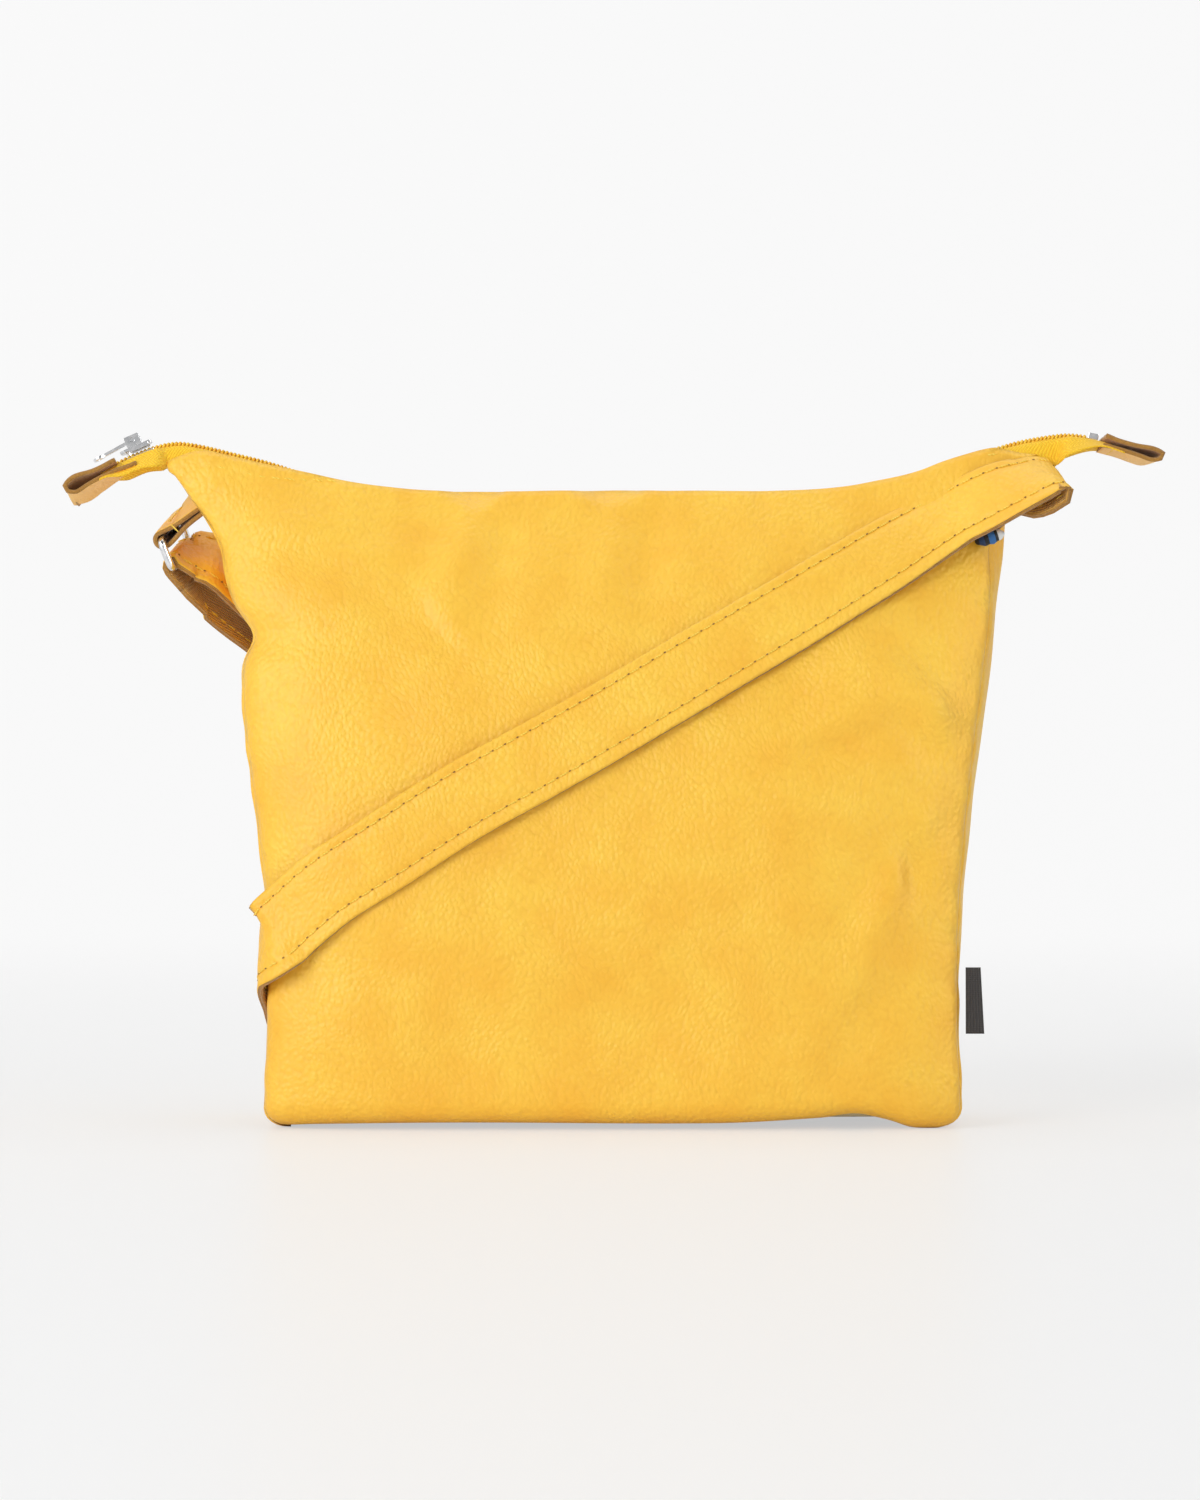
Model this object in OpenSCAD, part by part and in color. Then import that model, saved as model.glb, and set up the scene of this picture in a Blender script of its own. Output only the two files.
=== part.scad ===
// Trapeze shoulder bag in soft leather: two panels and two gussets on a flat base, closed along the
// top by a zip, with a flat strap folded round it. Millimetres, +Z up. The front faces -Y and the
// origin is the middle of the base, on the floor.

/* [Body] */
// Width of the body at the floor
base_w = 266; // [250:1:290]
// Depth of the body at its fullest
base_d = 96; // [80:1:110]
// Width between the panel corners at the mouth
mouth_w = 340; // [325:1:350]
// Height of the hem in the middle of the mouth
mouth_h = 242; // [225:1:260]
// Half the gap between the two hems
mouth_gap = 6.9; // [6:0.1:8]
// How far the hem climbs towards its ends
ear_rise = 16; // [10:1:20]
// Radius of the rounded bottom edge
base_roll = 10; // [6:1:14]
// Thickness of the leather
leather_t = 1.4; // [1:0.1:1.8]
// How far the gussets swell outwards
gusset_swell = 5; // [2:0.5:7]
// Depth of the pinch in the left gusset
left_pinch = 4; // [0:0.5:6]
// Gap between two sewn panels
seam_gap = 0.2; // [0.1:0.1:0.4]

/* [Lining] */
// Thickness of the lining cloth
lining_t = 0.6; // [0.4:0.1:1]
// Depth of the leather facing inside the mouth
facing_h = 36; // [30:1:44]
// Width of the slip pocket on the back lining
pocket_w = 150; // [100:5:170]
// Height of the slip pocket
pocket_h = 110; // [80:5:120]
// Height of the pocket's lower edge above the base
pocket_low = 40; // [30:1:60]

/* [Zip] */
// Width of one half of the zip tape
tape_w = 14; // [12:0.5:16]
// Thickness of the zip tape
tape_t = 0.6; // [0.4:0.1:0.8]
// Thickness of one coil
coil_d = 1.6; // [1.4:0.1:1.8]
// How far the tape runs past each corner of the mouth
tape_over = 26; // [22:1:30]
// Length of the slider's body
slider_l = 12.7; // [11:0.1:13]
// Width of the slider's body
slider_w = 9.4; // [8.6:0.1:10]
// Thickness of each slider plate
plate_t = 1.2; // [1:0.1:1.4]
// Diameter of the pin that carries the pull
pin_d = 1.6; // [1.2:0.1:1.8]
// Length of the pull
pull_l = 17; // [12:0.5:20]
// Width of the pull
pull_w = 5; // [4:0.1:6]

/* [Strap] */
// Width of the strap
strap_w = 30; // [26:1:32]
// Thickness of the strap's leather face
strap_face_t = 1.4; // [1.2:0.1:1.6]
// Thickness of the webbing behind it
webbing_t = 1.2; // [1:0.1:1.4]
// Length of the strap's doubled end from the ring to the adjuster
tail_l = 104; // [95:1:112]

/* [Ring and adjuster] */
// Diameter of the ring's wire
ring_wire = 3; // [2.5:0.1:3.2]
// Free height inside the ring
ring_in = 8.5; // [8:0.5:10]
// Side clearance of the strap in the ring and in the adjuster
strap_play = 1; // [0.6:0.1:1.5]
// Diameter of the adjuster's bars
bar_d = 2.4; // [2:0.1:2.6]
// Distance from the adjuster's middle bar to each outer bar
bar_step = 8; // [7:0.5:9]
// Free height round the strap inside the adjuster
bar_play = 0.3; // [0.2:0.1:0.4]

/* [Tabs and trims] */
// Width of the folded tabs at the ends of the zip
end_tab_w = 24; // [20:1:28]
// Height of the side label
label_h = 25; // [20:1:30]
// How far the side label stands out of the seam
label_w = 7; // [5:0.5:9]
// Height of the label's lower edge above the base
label_z = 36; // [28:1:60]
// Diameter of the striped loop in the right seam
loop_d = 6; // [4:0.5:7]

/* [Hidden] */

leather = "#FBC548";
suede = "#B8843A";
tape_yellow = "#FFD02C";
lining_grey = "#D8C9A4";
steel = "#C9CCD0";

// Share of the way from base width to mouth width, by share of the height
flare = [[0, 0], [0.2, 0], [0.41, 0.07], [0.54, 0.15], [0.66, 0.25], [0.75, 0.33], [0.85, 0.43],
         [0.92, 0.53], [0.965, 0.7], [1, 1]];
// Share of the full depth, by share of the height, down to the hem's own gap
fullness = [[0, 0.95], [0.15, 1], [0.4, 1], [0.55, 0.93], [0.7, 0.76], [0.85, 0.47], [0.95, 0.17],
            [1, 0]];
// Rise of the hem, by distance from the middle
hem_line = [[0, 0], [55, 0.01], [81, 0.12], [105, 0.31], [132, 0.69], [157, 1], [172, 0.75]];
// Height of the zip's coil over the middle of the hem, by place across the bag
zip_line = [[-200, 7], [-188, 13.2], [-176, 18.2], [-165, 19.7], [-143, 15], [-105, 5.9], [-60, 2.2],
            [0, 1.6], [60, 1.8], [105, 6.7], [140, 16.4], [172, 22.8], [186, 21.6], [200, 17]];

// Share of the gussets' swell, by share of the height: the left one is pinched in over its middle
left_swell = [[0, 0.3], [0.3, 0.3], [0.5, 0.1], [0.62, -0.1], [0.8, -0.2], [0.88, 0.1], [0.95, 0.4], [1, 0.35]];
right_swell = [[0, 0.1], [0.36, 0.25], [0.6, 0.52], [0.8, 0.42], [0.88, 0.12], [1, 0.05]];
// The lines of the hem and the zip are as drawn at a mouth 340 wide and 242 high, and what hangs
// on the corners of the mouth follows them
wide = mouth_w / 340;
shift_left = [170 - mouth_w / 2, 0, mouth_h - 242];
shift_right = [mouth_w / 2 - 170, 0, mouth_h - 242];
function shifted(tab, way) = [for (p = tab) [p[0], p[1] + way]];
function last(tab) = len(tab) - 1;
function span_of(tab, at) = max([for (i = [0 : last(tab) - 1]) tab[i][0] <= at ? i : 0]);
function slope_at(tab, i) =
    let (a = max(0, i - 1), b = min(last(tab), i + 1))
    (tab[b][1] - tab[a][1]) / (tab[b][0] - tab[a][0]);
// Smooth value through a list of [place, value] pairs, where a value may be a point
function curve(tab, at) =
    let (i = span_of(tab, at), run = tab[i + 1][0] - tab[i][0])
    let (t = min(1, max(0, (at - tab[i][0]) / run)))
    tab[i][1] * (2 * t * t * t - 3 * t * t + 1) + slope_at(tab, i) * run * (t * t * t - 2 * t * t + t)
    + tab[i + 1][1] * (3 * t * t - 2 * t * t * t) + slope_at(tab, i + 1) * run * (t * t * t - t * t);
function unit(v) = v / norm(v);
function square_to(v, along) = unit(v - along * (v * along));
function clamp01(t) = min(1, max(0, t));
function smooth(t) = let (c = clamp01(t)) c * c * (3 - 2 * c);

// Shape of the body, where k is the share of the height and off is the distance inside the skin
function half_w(k, side) =
    base_w / 2 + (mouth_w - base_w) / 2 * curve(flare, k)
    - (side < 0 ? left_pinch * exp(-pow((k - 0.75) / 0.035, 2)) : 0);
function half_d(k) = mouth_gap + (base_d / 2 - mouth_gap) * curve(fullness, k);
function setback(k) = 0.2 + 0.25 * k - 0.37 * smooth((k - 0.9) / 0.1);
function swell(k, side) = gusset_swell * curve(side < 0 ? left_swell : right_swell, k);
function ear(x) = ear_rise * curve(hem_line, abs(x) / wide);
function face_y(k, s, off) = (half_d(k) - off) * (1 - setback(k) * pow(abs(s), 7));
function face_pt(side, s, z0, off) =
    let (k = z0 / mouth_h, x = s * (half_w(k, s) - off))
    [x, side * face_y(k, s, off), z0 + ear(x) * pow(k, 3)];
function gusset_pt(side, t, z0, off) =
    let (k = z0 / mouth_h, w = half_w(k, side) - off)
    [side * (w + swell(k, side) * (1 - t * t)), t * (face_y(k, 1, off) - seam_gap), z0 + ear(w) * pow(k, 3)];
// Rows up a wall: first round the bottom edge, then up to the height given, closer near the top
roll_steps = 4;
function rows(off, top, n) = concat(
    [for (i = [0 : roll_steps - 1]) let (a = 90 * i / roll_steps)
        [base_roll - (base_roll - off) * cos(a), base_roll - (base_roll - off) * sin(a)]],
    [for (i = [0 : n]) [top - (top - base_roll) * pow(1 - i / n, 1.6), off]]);
function upper_rows(off, low, top, n) = [for (i = [0 : n]) [low + (top - low) * i / n, off]];
function but_last(list) = [for (i = [0 : len(list) - 2]) list[i]];
function steps(n, trim) = [for (i = [0 : n]) (2 * i / n - 1) * (1 - trim)];
function flat_list(grid) = [for (row = grid) for (p = row) p];

// Closed solid between two grids of points with the same rows and columns
module slab(outer, inner, turned) {
    m = len(outer);
    n = len(outer[0]);
    inside = m * n;
    function quad(a, b, c, d) = turned ? [[a, c, b], [a, d, c]] : [[a, b, c], [a, c, d]];
    faces = concat(
        [for (i = [0 : m - 2]) for (j = [0 : n - 2]) let (a = i * n + j)
            each quad(a, a + n, a + n + 1, a + 1)],
        [for (i = [0 : m - 2]) for (j = [0 : n - 2]) let (a = inside + i * n + j)
            each quad(a, a + 1, a + n + 1, a + n)],
        [for (j = [0 : n - 2]) each quad(j, j + 1, inside + j + 1, inside + j)],
        [for (j = [0 : n - 2]) let (a = (m - 1) * n + j)
            each quad(a, inside + a, inside + a + 1, a + 1)],
        [for (i = [0 : m - 2]) let (a = i * n) each quad(a, inside + a, inside + a + n, a + n)],
        [for (i = [0 : m - 2]) let (a = i * n + n - 1)
            each quad(a, a + n, inside + a + n, inside + a)]);
    polyhedron(concat(flat_list(outer), flat_list(inner)), faces, convexity = 6);
}

// A front or back wall, and a left or right one, from their rows outside and inside
module face_wall(side, cols, out_rows, in_rows) {
    slab([for (r = out_rows) [for (s = cols) face_pt(side, s, r[0], r[1])]],
         [for (r = in_rows) [for (s = cols) face_pt(side, s, r[0], r[1])]], side > 0);
}
module gusset_wall(side, cols, out_rows, in_rows) {
    slab([for (r = out_rows) [for (t = cols) gusset_pt(side, t, r[0], r[1])]],
         [for (r = in_rows) [for (t = cols) gusset_pt(side, t, r[0], r[1])]], side < 0);
}

panel_cols = 18;
panel_rows = 15;
seam_share = seam_gap / mouth_w;
module panel(side) {
    face_wall(side, steps(panel_cols, seam_share), rows(0, mouth_h, panel_rows),
              rows(leather_t, mouth_h, panel_rows));
}
module gusset(side) {
    gusset_wall(side, steps(4, 0), but_last(but_last(rows(0, mouth_h, panel_rows))),
                but_last(but_last(rows(leather_t, mouth_h, panel_rows))));
}
module front_panel() { color(leather) panel(-1); }
module back_panel() { color(leather) panel(1); }
module left_gusset() { color(leather) gusset(-1); }
module right_gusset() { color(leather) gusset(1); }

// Outline of the body at the floor, inset by off
function floor_side(side, off, n) = [for (i = [0 : n]) let (s = side * (1 - 2 * i / n))
    let (p = face_pt(side, s, 0, off)) [p[0], p[1]]];
function floor_outline(off, n) = concat(floor_side(-1, off, n), floor_side(1, off, n));
module base_panel() {
    color(leather) linear_extrude(leather_t) polygon(floor_outline(base_roll + seam_gap, panel_cols));
}

ply_gap = 0.4;
tape_in = leather_t + ply_gap;
facing_in = tape_in + tape_t + ply_gap;
facing_top = mouth_h - 13;
lining_in = facing_in + leather_t + ply_gap;
lining_top = mouth_h - facing_h + 3;
lining_cols = 12;
lining_rows = 8;
module facing(side) {
    low = mouth_h - facing_h;
    cols = steps(panel_cols, 0.03);
    face_wall(side, cols, upper_rows(facing_in, low, facing_top, 5),
              upper_rows(facing_in + leather_t, low, facing_top, 5));
}
module front_facing() { color(leather) facing(-1); }
module back_facing() { color(leather) facing(1); }

module lining_face(side) {
    face_wall(side, steps(lining_cols, 0.004), rows(lining_in, lining_top, lining_rows),
              rows(lining_in + lining_t, lining_top, lining_rows));
}
module lining_gusset(side) {
    gusset_wall(side, steps(2, 0), rows(lining_in, lining_top, lining_rows),
                rows(lining_in + lining_t, lining_top, lining_rows));
}
module lining_front() { color(lining_grey) lining_face(-1); }
module lining_back() { color(lining_grey) lining_face(1); }
module lining_left() { color(lining_grey) lining_gusset(-1); }
module lining_right() { color(lining_grey) lining_gusset(1); }
module lining_base() {
    color(lining_grey) translate([0, 0, lining_in]) linear_extrude(lining_t)
        polygon(floor_outline(base_roll + 2 * seam_gap, lining_cols));
}
pocket_in = lining_in + lining_t + 2 * ply_gap;
module slip_pocket() {
    half = pocket_w / base_w;
    cols = [for (i = [0 : 8]) (i / 4 - 1) * half];
    color(lining_grey) face_wall(1, cols, upper_rows(pocket_in, pocket_low, pocket_low + pocket_h, 5),
        upper_rows(pocket_in + lining_t, pocket_low, pocket_low + pocket_h, 5));
}

// Zip: each half of the tape hangs from the coil like one slope of a roof. Between the hems it
// turns down inside the panel, and past the corners of the mouth it lies free.
function coil_z(x) = mouth_h + curve(zip_line, x / wide);
stem_share = 0.28;
slider_x = -mouth_w / 2 - 12.5;
tape_reach = mouth_w / 2 + tape_over;
neck_x = slider_x - slider_l * stem_share * cos(zip_tilt(slider_x));
coil_play = 0.4;
neck_d = 1.8;
coil_y_shut = coil_d / 2 + 0.05;
coil_y_split = neck_d / 2 + coil_play + coil_d / 2;
function coil_y(x) =
    coil_y_shut + (coil_y_split - coil_y_shut) * smooth((neck_x + 4.5 - x) / 4);
corner_x = mouth_w / 2;
// The tape starts beside its coil and runs flat as far as the slider's sides
tape_flat = slider_w / 2 + 0.8;
function tape_edge(x) = coil_y(x) + coil_d / 2 + 0.1;
function tape_held(x, v, off) =
    let (near_corner = smooth((abs(x) - corner_x + 38) / 22))
    let (hang = (tape_w - mouth_gap) * (1 - 0.85 * near_corner))
    let (z0 = mouth_h - 1 - hang * clamp01((v - 0.4) / 0.6), k = z0 / mouth_h)
    let (s = min(1, abs(x) / (half_w(k, x) - off)))
    let (y = face_y(k, s, off) - 0.5 * near_corner, z = z0 + ear(min(abs(x), corner_x)) * pow(k, 3))
    let (u = v / 0.4)
    v < 0.4 ? [tape_edge(x) + (y - tape_edge(x)) * u, coil_z(x) + (z - coil_z(x)) * u * u] : [y, z];
function tape_free(x, v, off) =
    let (u = clamp01((v - 0.4) / 0.6), flat = min(1, v / 0.4))
    [tape_edge(x) + (tape_flat - tape_edge(x)) * flat + (tape_w - tape_flat - 1.5) * u - off * u,
     coil_z(x) - tape_drop(x) * pow(u, 0.9) - off * (1 - 0.7 * u)];
function tape_drop(x) = 8 - 6 * smooth((abs(x) - corner_x) / 20);
function tape_pt(side, x, v, off) =
    let (b = smooth((abs(x) - corner_x - 0.5) / 4))
    let (p = tape_held(x, v, tape_in + off) * (1 - b) + tape_free(x, v, off) * b)
    [x, side * p[0], p[1] - (1 - b) * off * (v < 0.4 ? 1 : 0)];
// Places across the zip, closer together at its free ends
end_step = 2.6;
stop_left_x = -mouth_w / 2 - 20.5;
stop_right_x = mouth_w / 2 + 13;
tape_cols = concat([for (x = [-tape_reach : end_step : -corner_x + 3]) x],
    [for (i = [0 : 32]) (i / 16 - 1) * (corner_x - 4)],
    [for (x = [corner_x - 1 : 2 * end_step : tape_reach]) x]);
coil_cols = [for (x = tape_cols) if (x > stop_left_x && x < stop_right_x) x];
tape_rows = [0, 0.2, 0.4, 0.6, 0.8, 1];
module zip_tape(side) {
    color(tape_yellow) slab([for (v = tape_rows) [for (x = tape_cols) tape_pt(side, x, v, 0)]],
         [for (v = tape_rows) [for (x = tape_cols) tape_pt(side, x, v, tape_t)]], side < 0);
}
module zip_tape_front() { zip_tape(-1); }
module zip_tape_back() { zip_tape(1); }

// Tube with a few sides along a list of points
module tube(path, radius, sides) {
    n = len(path);
    rings = [for (i = [0 : n - 1])
        let (t = unit(path[min(n - 1, i + 1)] - path[max(0, i - 1)]))
        let (a = square_to([0, 0, 1], t), b = cross(t, a))
        [for (j = [0 : sides - 1]) let (q = 360 * (j + 0.5) / sides)
            path[i] + radius * (a * cos(q) + b * sin(q))]];
    faces = concat(
        [for (i = [0 : n - 2]) for (j = [0 : sides - 1])
            let (a = i * sides + j, b = i * sides + (j + 1) % sides)
            each [[a, b + sides, b], [a, a + sides, b + sides]]],
        [[for (j = [0 : sides - 1]) j]], [[for (j = [sides - 1 : -1 : 0]) (n - 1) * sides + j]]);
    polyhedron(flat_list(rings), faces, convexity = 4);
}
module zip_coil(side) {
    color(tape_yellow) tube([for (x = concat([stop_left_x], coil_cols, [stop_right_x]))
        [x, side * coil_y(x), coil_z(x)]], coil_d / 2, 6);
}
module zip_coil_front() { zip_coil(-1); }
module zip_coil_back() { zip_coil(1); }

function zip_tilt(x) = atan2(coil_z(x + 2) - coil_z(x - 2), 4);
module on_zip(x) { translate([x, 0, coil_z(x)]) rotate([0, -zip_tilt(x), 0]) children(); }
module zip_top_stops() {
    color(steel) on_zip(stop_left_x - 1.4) for (side = [-1, 1])
        translate([0, side * coil_y_split, 0]) cube([2, coil_d, 2.2], center = true);
}
module zip_bottom_stop() {
    color(steel) on_zip(stop_right_x + 2.2) cube([4, 2 * coil_d + 0.1, 2.2], center = true);
}

// Slider: two plates joined by a neck, side flanges that hold the coils, and a bridge for the pin
slider_tilt = zip_tilt(slider_x);
slider_gap = coil_d + 2 * coil_play;
flange_t = 0.9;
pin_rise = slider_gap / 2 + plate_t + 2.6;
pin_len = 5.6;
pin_play = 0.05;
module on_slider() {
    translate([slider_x, 0, coil_z(slider_x)]) rotate([0, -slider_tilt, 0]) children();
}
module slider_plate() {
    linear_extrude(plate_t) hull_free_plate();
}
// Boat outline of a plate, wide at the neck's end
module hull_free_plate() {
    polygon([[-slider_l / 2, -slider_w * 0.3], [-slider_l * 0.36, -slider_w / 2],
             [0, -slider_w / 2], [slider_l / 2, -slider_w * 0.4], [slider_l / 2, slider_w * 0.4],
             [0, slider_w / 2], [-slider_l * 0.36, slider_w / 2], [-slider_l / 2, slider_w * 0.3]]);
}
module slider_body() {
    color(steel) on_slider() {
        translate([0, 0, slider_gap / 2]) slider_plate();
        translate([0, 0, -slider_gap / 2 - plate_t]) slider_plate();
        translate([-slider_l * stem_share, 0, -slider_gap / 2 - plate_t / 2])
            cylinder(d = neck_d, h = slider_gap + plate_t, $fn = 24);
        for (side = [-1, 1]) translate([slider_l * 0.1, side * (slider_w / 2 - flange_t / 2), slider_gap / 2])
            cube([slider_l * 0.62, flange_t, 1.2], center = true);
        difference() {
            for (side = [-1, 1])
                translate([-3, side * (pin_len / 2 - 0.6) - 0.6, slider_gap / 2 + plate_t - 0.2])
                cube([6, 1.2, 4.6]);
            translate([0, 0, pin_rise]) rotate([90, 0, 0])
                cylinder(d = pin_d + 2 * pin_play, h = 2 * pin_len, center = true, $fn = 32);
        }
    }
}
module slider_pin() {
    color(steel) on_slider() translate([0, 0, pin_rise]) rotate([90, 0, 0])
        cylinder(d = pin_d, h = pin_len, center = true, $fn = 32);
}
// The pull hangs from an eye round the pin and lies along the tab on the left
pull_drop = 5;
pull_t = 1.2;
module slider_pull() {
    eye_d = pin_d + 2 * pin_play + 1.6;
    eye_w = pin_len - 2 * 1.2 - 0.4;
    color(steel) on_slider() translate([0, 0, pin_rise]) rotate([0, -pull_drop, 0]) difference() {
        union() {
            rotate([90, 0, 0]) cylinder(d = eye_d, h = eye_w, center = true, $fn = 32);
            translate([-(pull_l - pull_w / 2) / 2, 0, 0])
                cube([pull_l - pull_w / 2, eye_w * 0.8, pull_t], center = true);
            translate([-pull_l + pull_w / 2, 0, -pull_t / 2]) linear_extrude(pull_t)
                circle(d = pull_w, $fn = 40);
        }
        rotate([90, 0, 0])
            cylinder(d = pin_d + 2 * pin_play, h = 3 * pin_len, center = true, $fn = 32);
        translate([-pull_l + pull_w / 2, 0, 0])
            cylinder(d = 2.4, h = 4 * pull_t, center = true, $fn = 32);
    }
}

// Flat band along a route of [place, point] pairs, with the way of its width at each place.
// The layer lies between low and high along the band's own normal.
function band_frame(route, across, at) =
    let (d = 0.02, t = unit(curve(route, at + d) - curve(route, at - d)))
    let (w = square_to(curve(across, at), t))
    [curve(route, at), w, cross(w, t)];
module band(route, across, places, width, low, high) {
    frames = [for (at = places) band_frame(route, across, at)];
    half = width / 2;
    slab([for (f = frames) [f[0] - f[1] * half + f[2] * high, f[0] + f[1] * half + f[2] * high]],
         [for (f = frames) [f[0] - f[1] * half + f[2] * low, f[0] + f[1] * half + f[2] * low]], false);
}
// Points of an arc about a middle, from one way round to another
function arc(mid, way0, way90, radius, from, to, n) =
    [for (i = [0 : n]) let (q = from + (to - from) * i / n) mid + radius * (way0 * cos(q) + way90 * sin(q))];
function placed(list) = [for (i = [0 : len(list) - 1]) [i, list[i]]];
function run(from, to, n) = [for (i = [0 : n]) from + (to - from) * i / n];

// End tabs: a strip folded back on itself round each end of the tape
tab_t = 1.6;
left_tab_route = [[0, [-181, 1, 250.9]], [1, [-188, 1, 248.2]], [2, [-197, 1, 243.2]],
    [3, [-205, 1, 240.6]], [4, [-209.2, 1, 243.2]], [5, [-206, 1, 247.4]], [6, [-198, 1, 252.4]],
    [7, [-191, 1, 256.6]]];
right_tab_route = [[0, [188, 1, 257.7]], [1, [197, 1, 255.6]], [2, [206, 1, 253.2]],
    [3, [211.6, 1, 254.6]], [4, [208, 1, 257.6]], [5, [199, 1, 261.6]], [6, [191, 1, 264.6]]];
left_tab_across = [[0, [0.1, 1, 0]], [7, [0.1, 1, 0]]];
right_tab_across = [[0, [-0.1, 1, 0]], [6, [-0.1, 1, 0]]];
module end_tab_left() {
    color(suede) band(shifted(left_tab_route, shift_left), left_tab_across, run(0.05, 6.95, 22), end_tab_w,
                      -tab_t / 2, tab_t / 2);
}
module end_tab_right() {
    color(suede) band(shifted(right_tab_route, shift_right), right_tab_across, run(0.05, 5.95, 20), end_tab_w,
                      -tab_t / 2, tab_t / 2);
}

// Ring: a rectangular wire ring whose upper bar lies in the tab's loop
ring_top = [-171, 11, 228] + shift_left;
ring_across = unit([0.12, 0.95, 0.29]);
ring_down = square_to([0.35, 0.3, -0.87], ring_across);
ring_out = cross(ring_across, ring_down);
ring_len = strap_w + 2 * strap_play;
ring_pitch = ring_in + ring_wire;
ring_corner = ring_wire * 0.9;
module on_ring() {
    multmatrix([for (i = [0 : 2]) [ring_across[i], ring_down[i], ring_out[i], ring_top[i]]]) children();
}
module bar_x(from, to, d) {
    translate(from) rotate([0, 90, 0]) cylinder(d = d, h = to[0] - from[0], $fn = 24);
}
module bar_y(from, to, d) {
    translate(from) rotate([-90, 0, 0]) cylinder(d = d, h = to[1] - from[1], $fn = 24);
}
module strap_ring() {
    hx = ring_len / 2 + ring_wire / 2;
    inner = hx - ring_corner;
    color(steel) on_ring() {
        bar_x([-inner, 0, 0], [inner, 0, 0], ring_wire);
        bar_x([-inner, ring_pitch, 0], [inner, ring_pitch, 0], ring_wire);
        for (side = [-1, 1]) {
            bar_y([side * hx, ring_corner, 0], [side * hx, ring_pitch - ring_corner, 0], ring_wire);
            for (end = [0, 1]) translate([side * inner, end ? ring_pitch - ring_corner : ring_corner, 0])
                rotate([0, 0, side > 0 ? (end ? 0 : -90) : (end ? 90 : 180)])
                rotate_extrude(angle = 90, $fn = 24)
                translate([ring_corner, 0]) circle(d = ring_wire, $fn = 24);
        }
    }
}
ring_low = ring_top + ring_down * ring_pitch;

// Tab that carries the ring: a doubled strip sewn to the left gusset, looped round the upper bar
tab_root = [-158.5, 4, 240.5] + shift_left;
tab_turn = ring_wire / 2 + 0.7 + tab_t / 2;
tab_in = square_to(tab_root - ring_top, ring_across);
tab_side = cross(ring_across, tab_in);
ring_tab_points = concat([tab_root + tab_side * 0.95, ring_top + tab_in * 8 + tab_side * 1.5],
    arc(ring_top, tab_side, tab_in, tab_turn, 0, -180, 4),
    [ring_top + tab_in * 8 - tab_side * 1.5, tab_root - tab_side * 0.95]);
ring_tab_route = placed(ring_tab_points);
tab_end = len(ring_tab_points) - 1;
tab_root_across = [-0.12, 0.97, 0.22];
ring_tab_across = placed([for (i = [0 : tab_end]) i == 0 || i == tab_end ? tab_root_across : ring_across]);
module ring_tab() {
    color(leather) band(ring_tab_route, ring_tab_across, run(0, tab_end, 24), strap_w, -tab_t / 2, tab_t / 2);
}

// Strap: sewn to the right gusset, folded over to the front, laid across the front and round the
// left edge, along the foot of the back, turned in an oblique hairpin and led up to the ring
strap_t = strap_face_t + webbing_t;
lie = strap_t / 2 + 0.8;
function on_front(x, z) =
    let (z0 = z - ear(x) * pow(z / mouth_h, 3), k = z0 / mouth_h)
    [x, -face_y(k, min(1, abs(x) / half_w(k, x)), 0) - lie, z];
function way_on_front(x, z) =
    unit(on_front(x - strap_w * 0.1, z + strap_w * 0.17) - on_front(x + strap_w * 0.1, z - strap_w * 0.17));
back_foot_y = base_d / 2 + lie;
foot_z = strap_w / 2 + 2.5;
hairpin_x = 45;
hairpin_r = 11;
hairpin_lean = 21.5;
hairpin_axis = [sin(hairpin_lean), 0, cos(hairpin_lean)];
hairpin_mid = [hairpin_x, back_foot_y + hairpin_r, foot_z];
function turned(v, axis, q) = v * cos(q) + cross(axis, v) * sin(q) + axis * (axis * v) * (1 - cos(q));
function hairpin_pt(q) = hairpin_mid + turned([0, -hairpin_r, 0], hairpin_axis, q)
    + hairpin_axis * 0;
function hairpin_w(q) = turned([0, 0, 1], hairpin_axis, q);
// The leg behind the bag runs straight between these two points
leg_low = hairpin_pt(180) + [-9, -1, 8.3];
leg_high = [-126, 46, 176];
leg_dir = unit(leg_high - leg_low);
leg_across = square_to([0.64, -0.17, 0.74], leg_dir);
leg_len = norm(leg_high - leg_low);
ring_turn = ring_wire / 2 + 0.9 + strap_t / 2;
leg_in = square_to(leg_high - ring_low, ring_across);
leg_side = cross(leg_in, ring_across);
ring_lead = 20;
ring_mix = unit(leg_across * 0.25 + ring_across * 0.75);
front_run = [[129, 230.5], [100, 214], [71, 197], [37, 177], [3, 156.7], [-30, 138], [-58, 122.4],
             [-85, 106], [-107, 93.5], [-121, 82]];
strap_route_start = [[158.5, 0, 226], [162, -3, 234], [167.5, -9, 238.5], [173.5, -14, 241.5],
                     [175.5, -18, 244.5], [171, -21, 247.5], [160, -22, 246.5], [146, -21, 239.5]];
strap_route_left = [[-134, -41.5, 70.5], [-140.6, -33, 61], [-141.4, -12, 46], [-141.2, 12, 33],
                    [-140.2, 32, 23.5], [-133, 45.5, 19], [-118, back_foot_y + 1, foot_z],
                    [-80, back_foot_y, foot_z], [-20, back_foot_y, foot_z], [25, back_foot_y, foot_z]];
leg_points = [for (i = [0 : 5]) leg_low + leg_dir * leg_len * i / 5];
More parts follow.
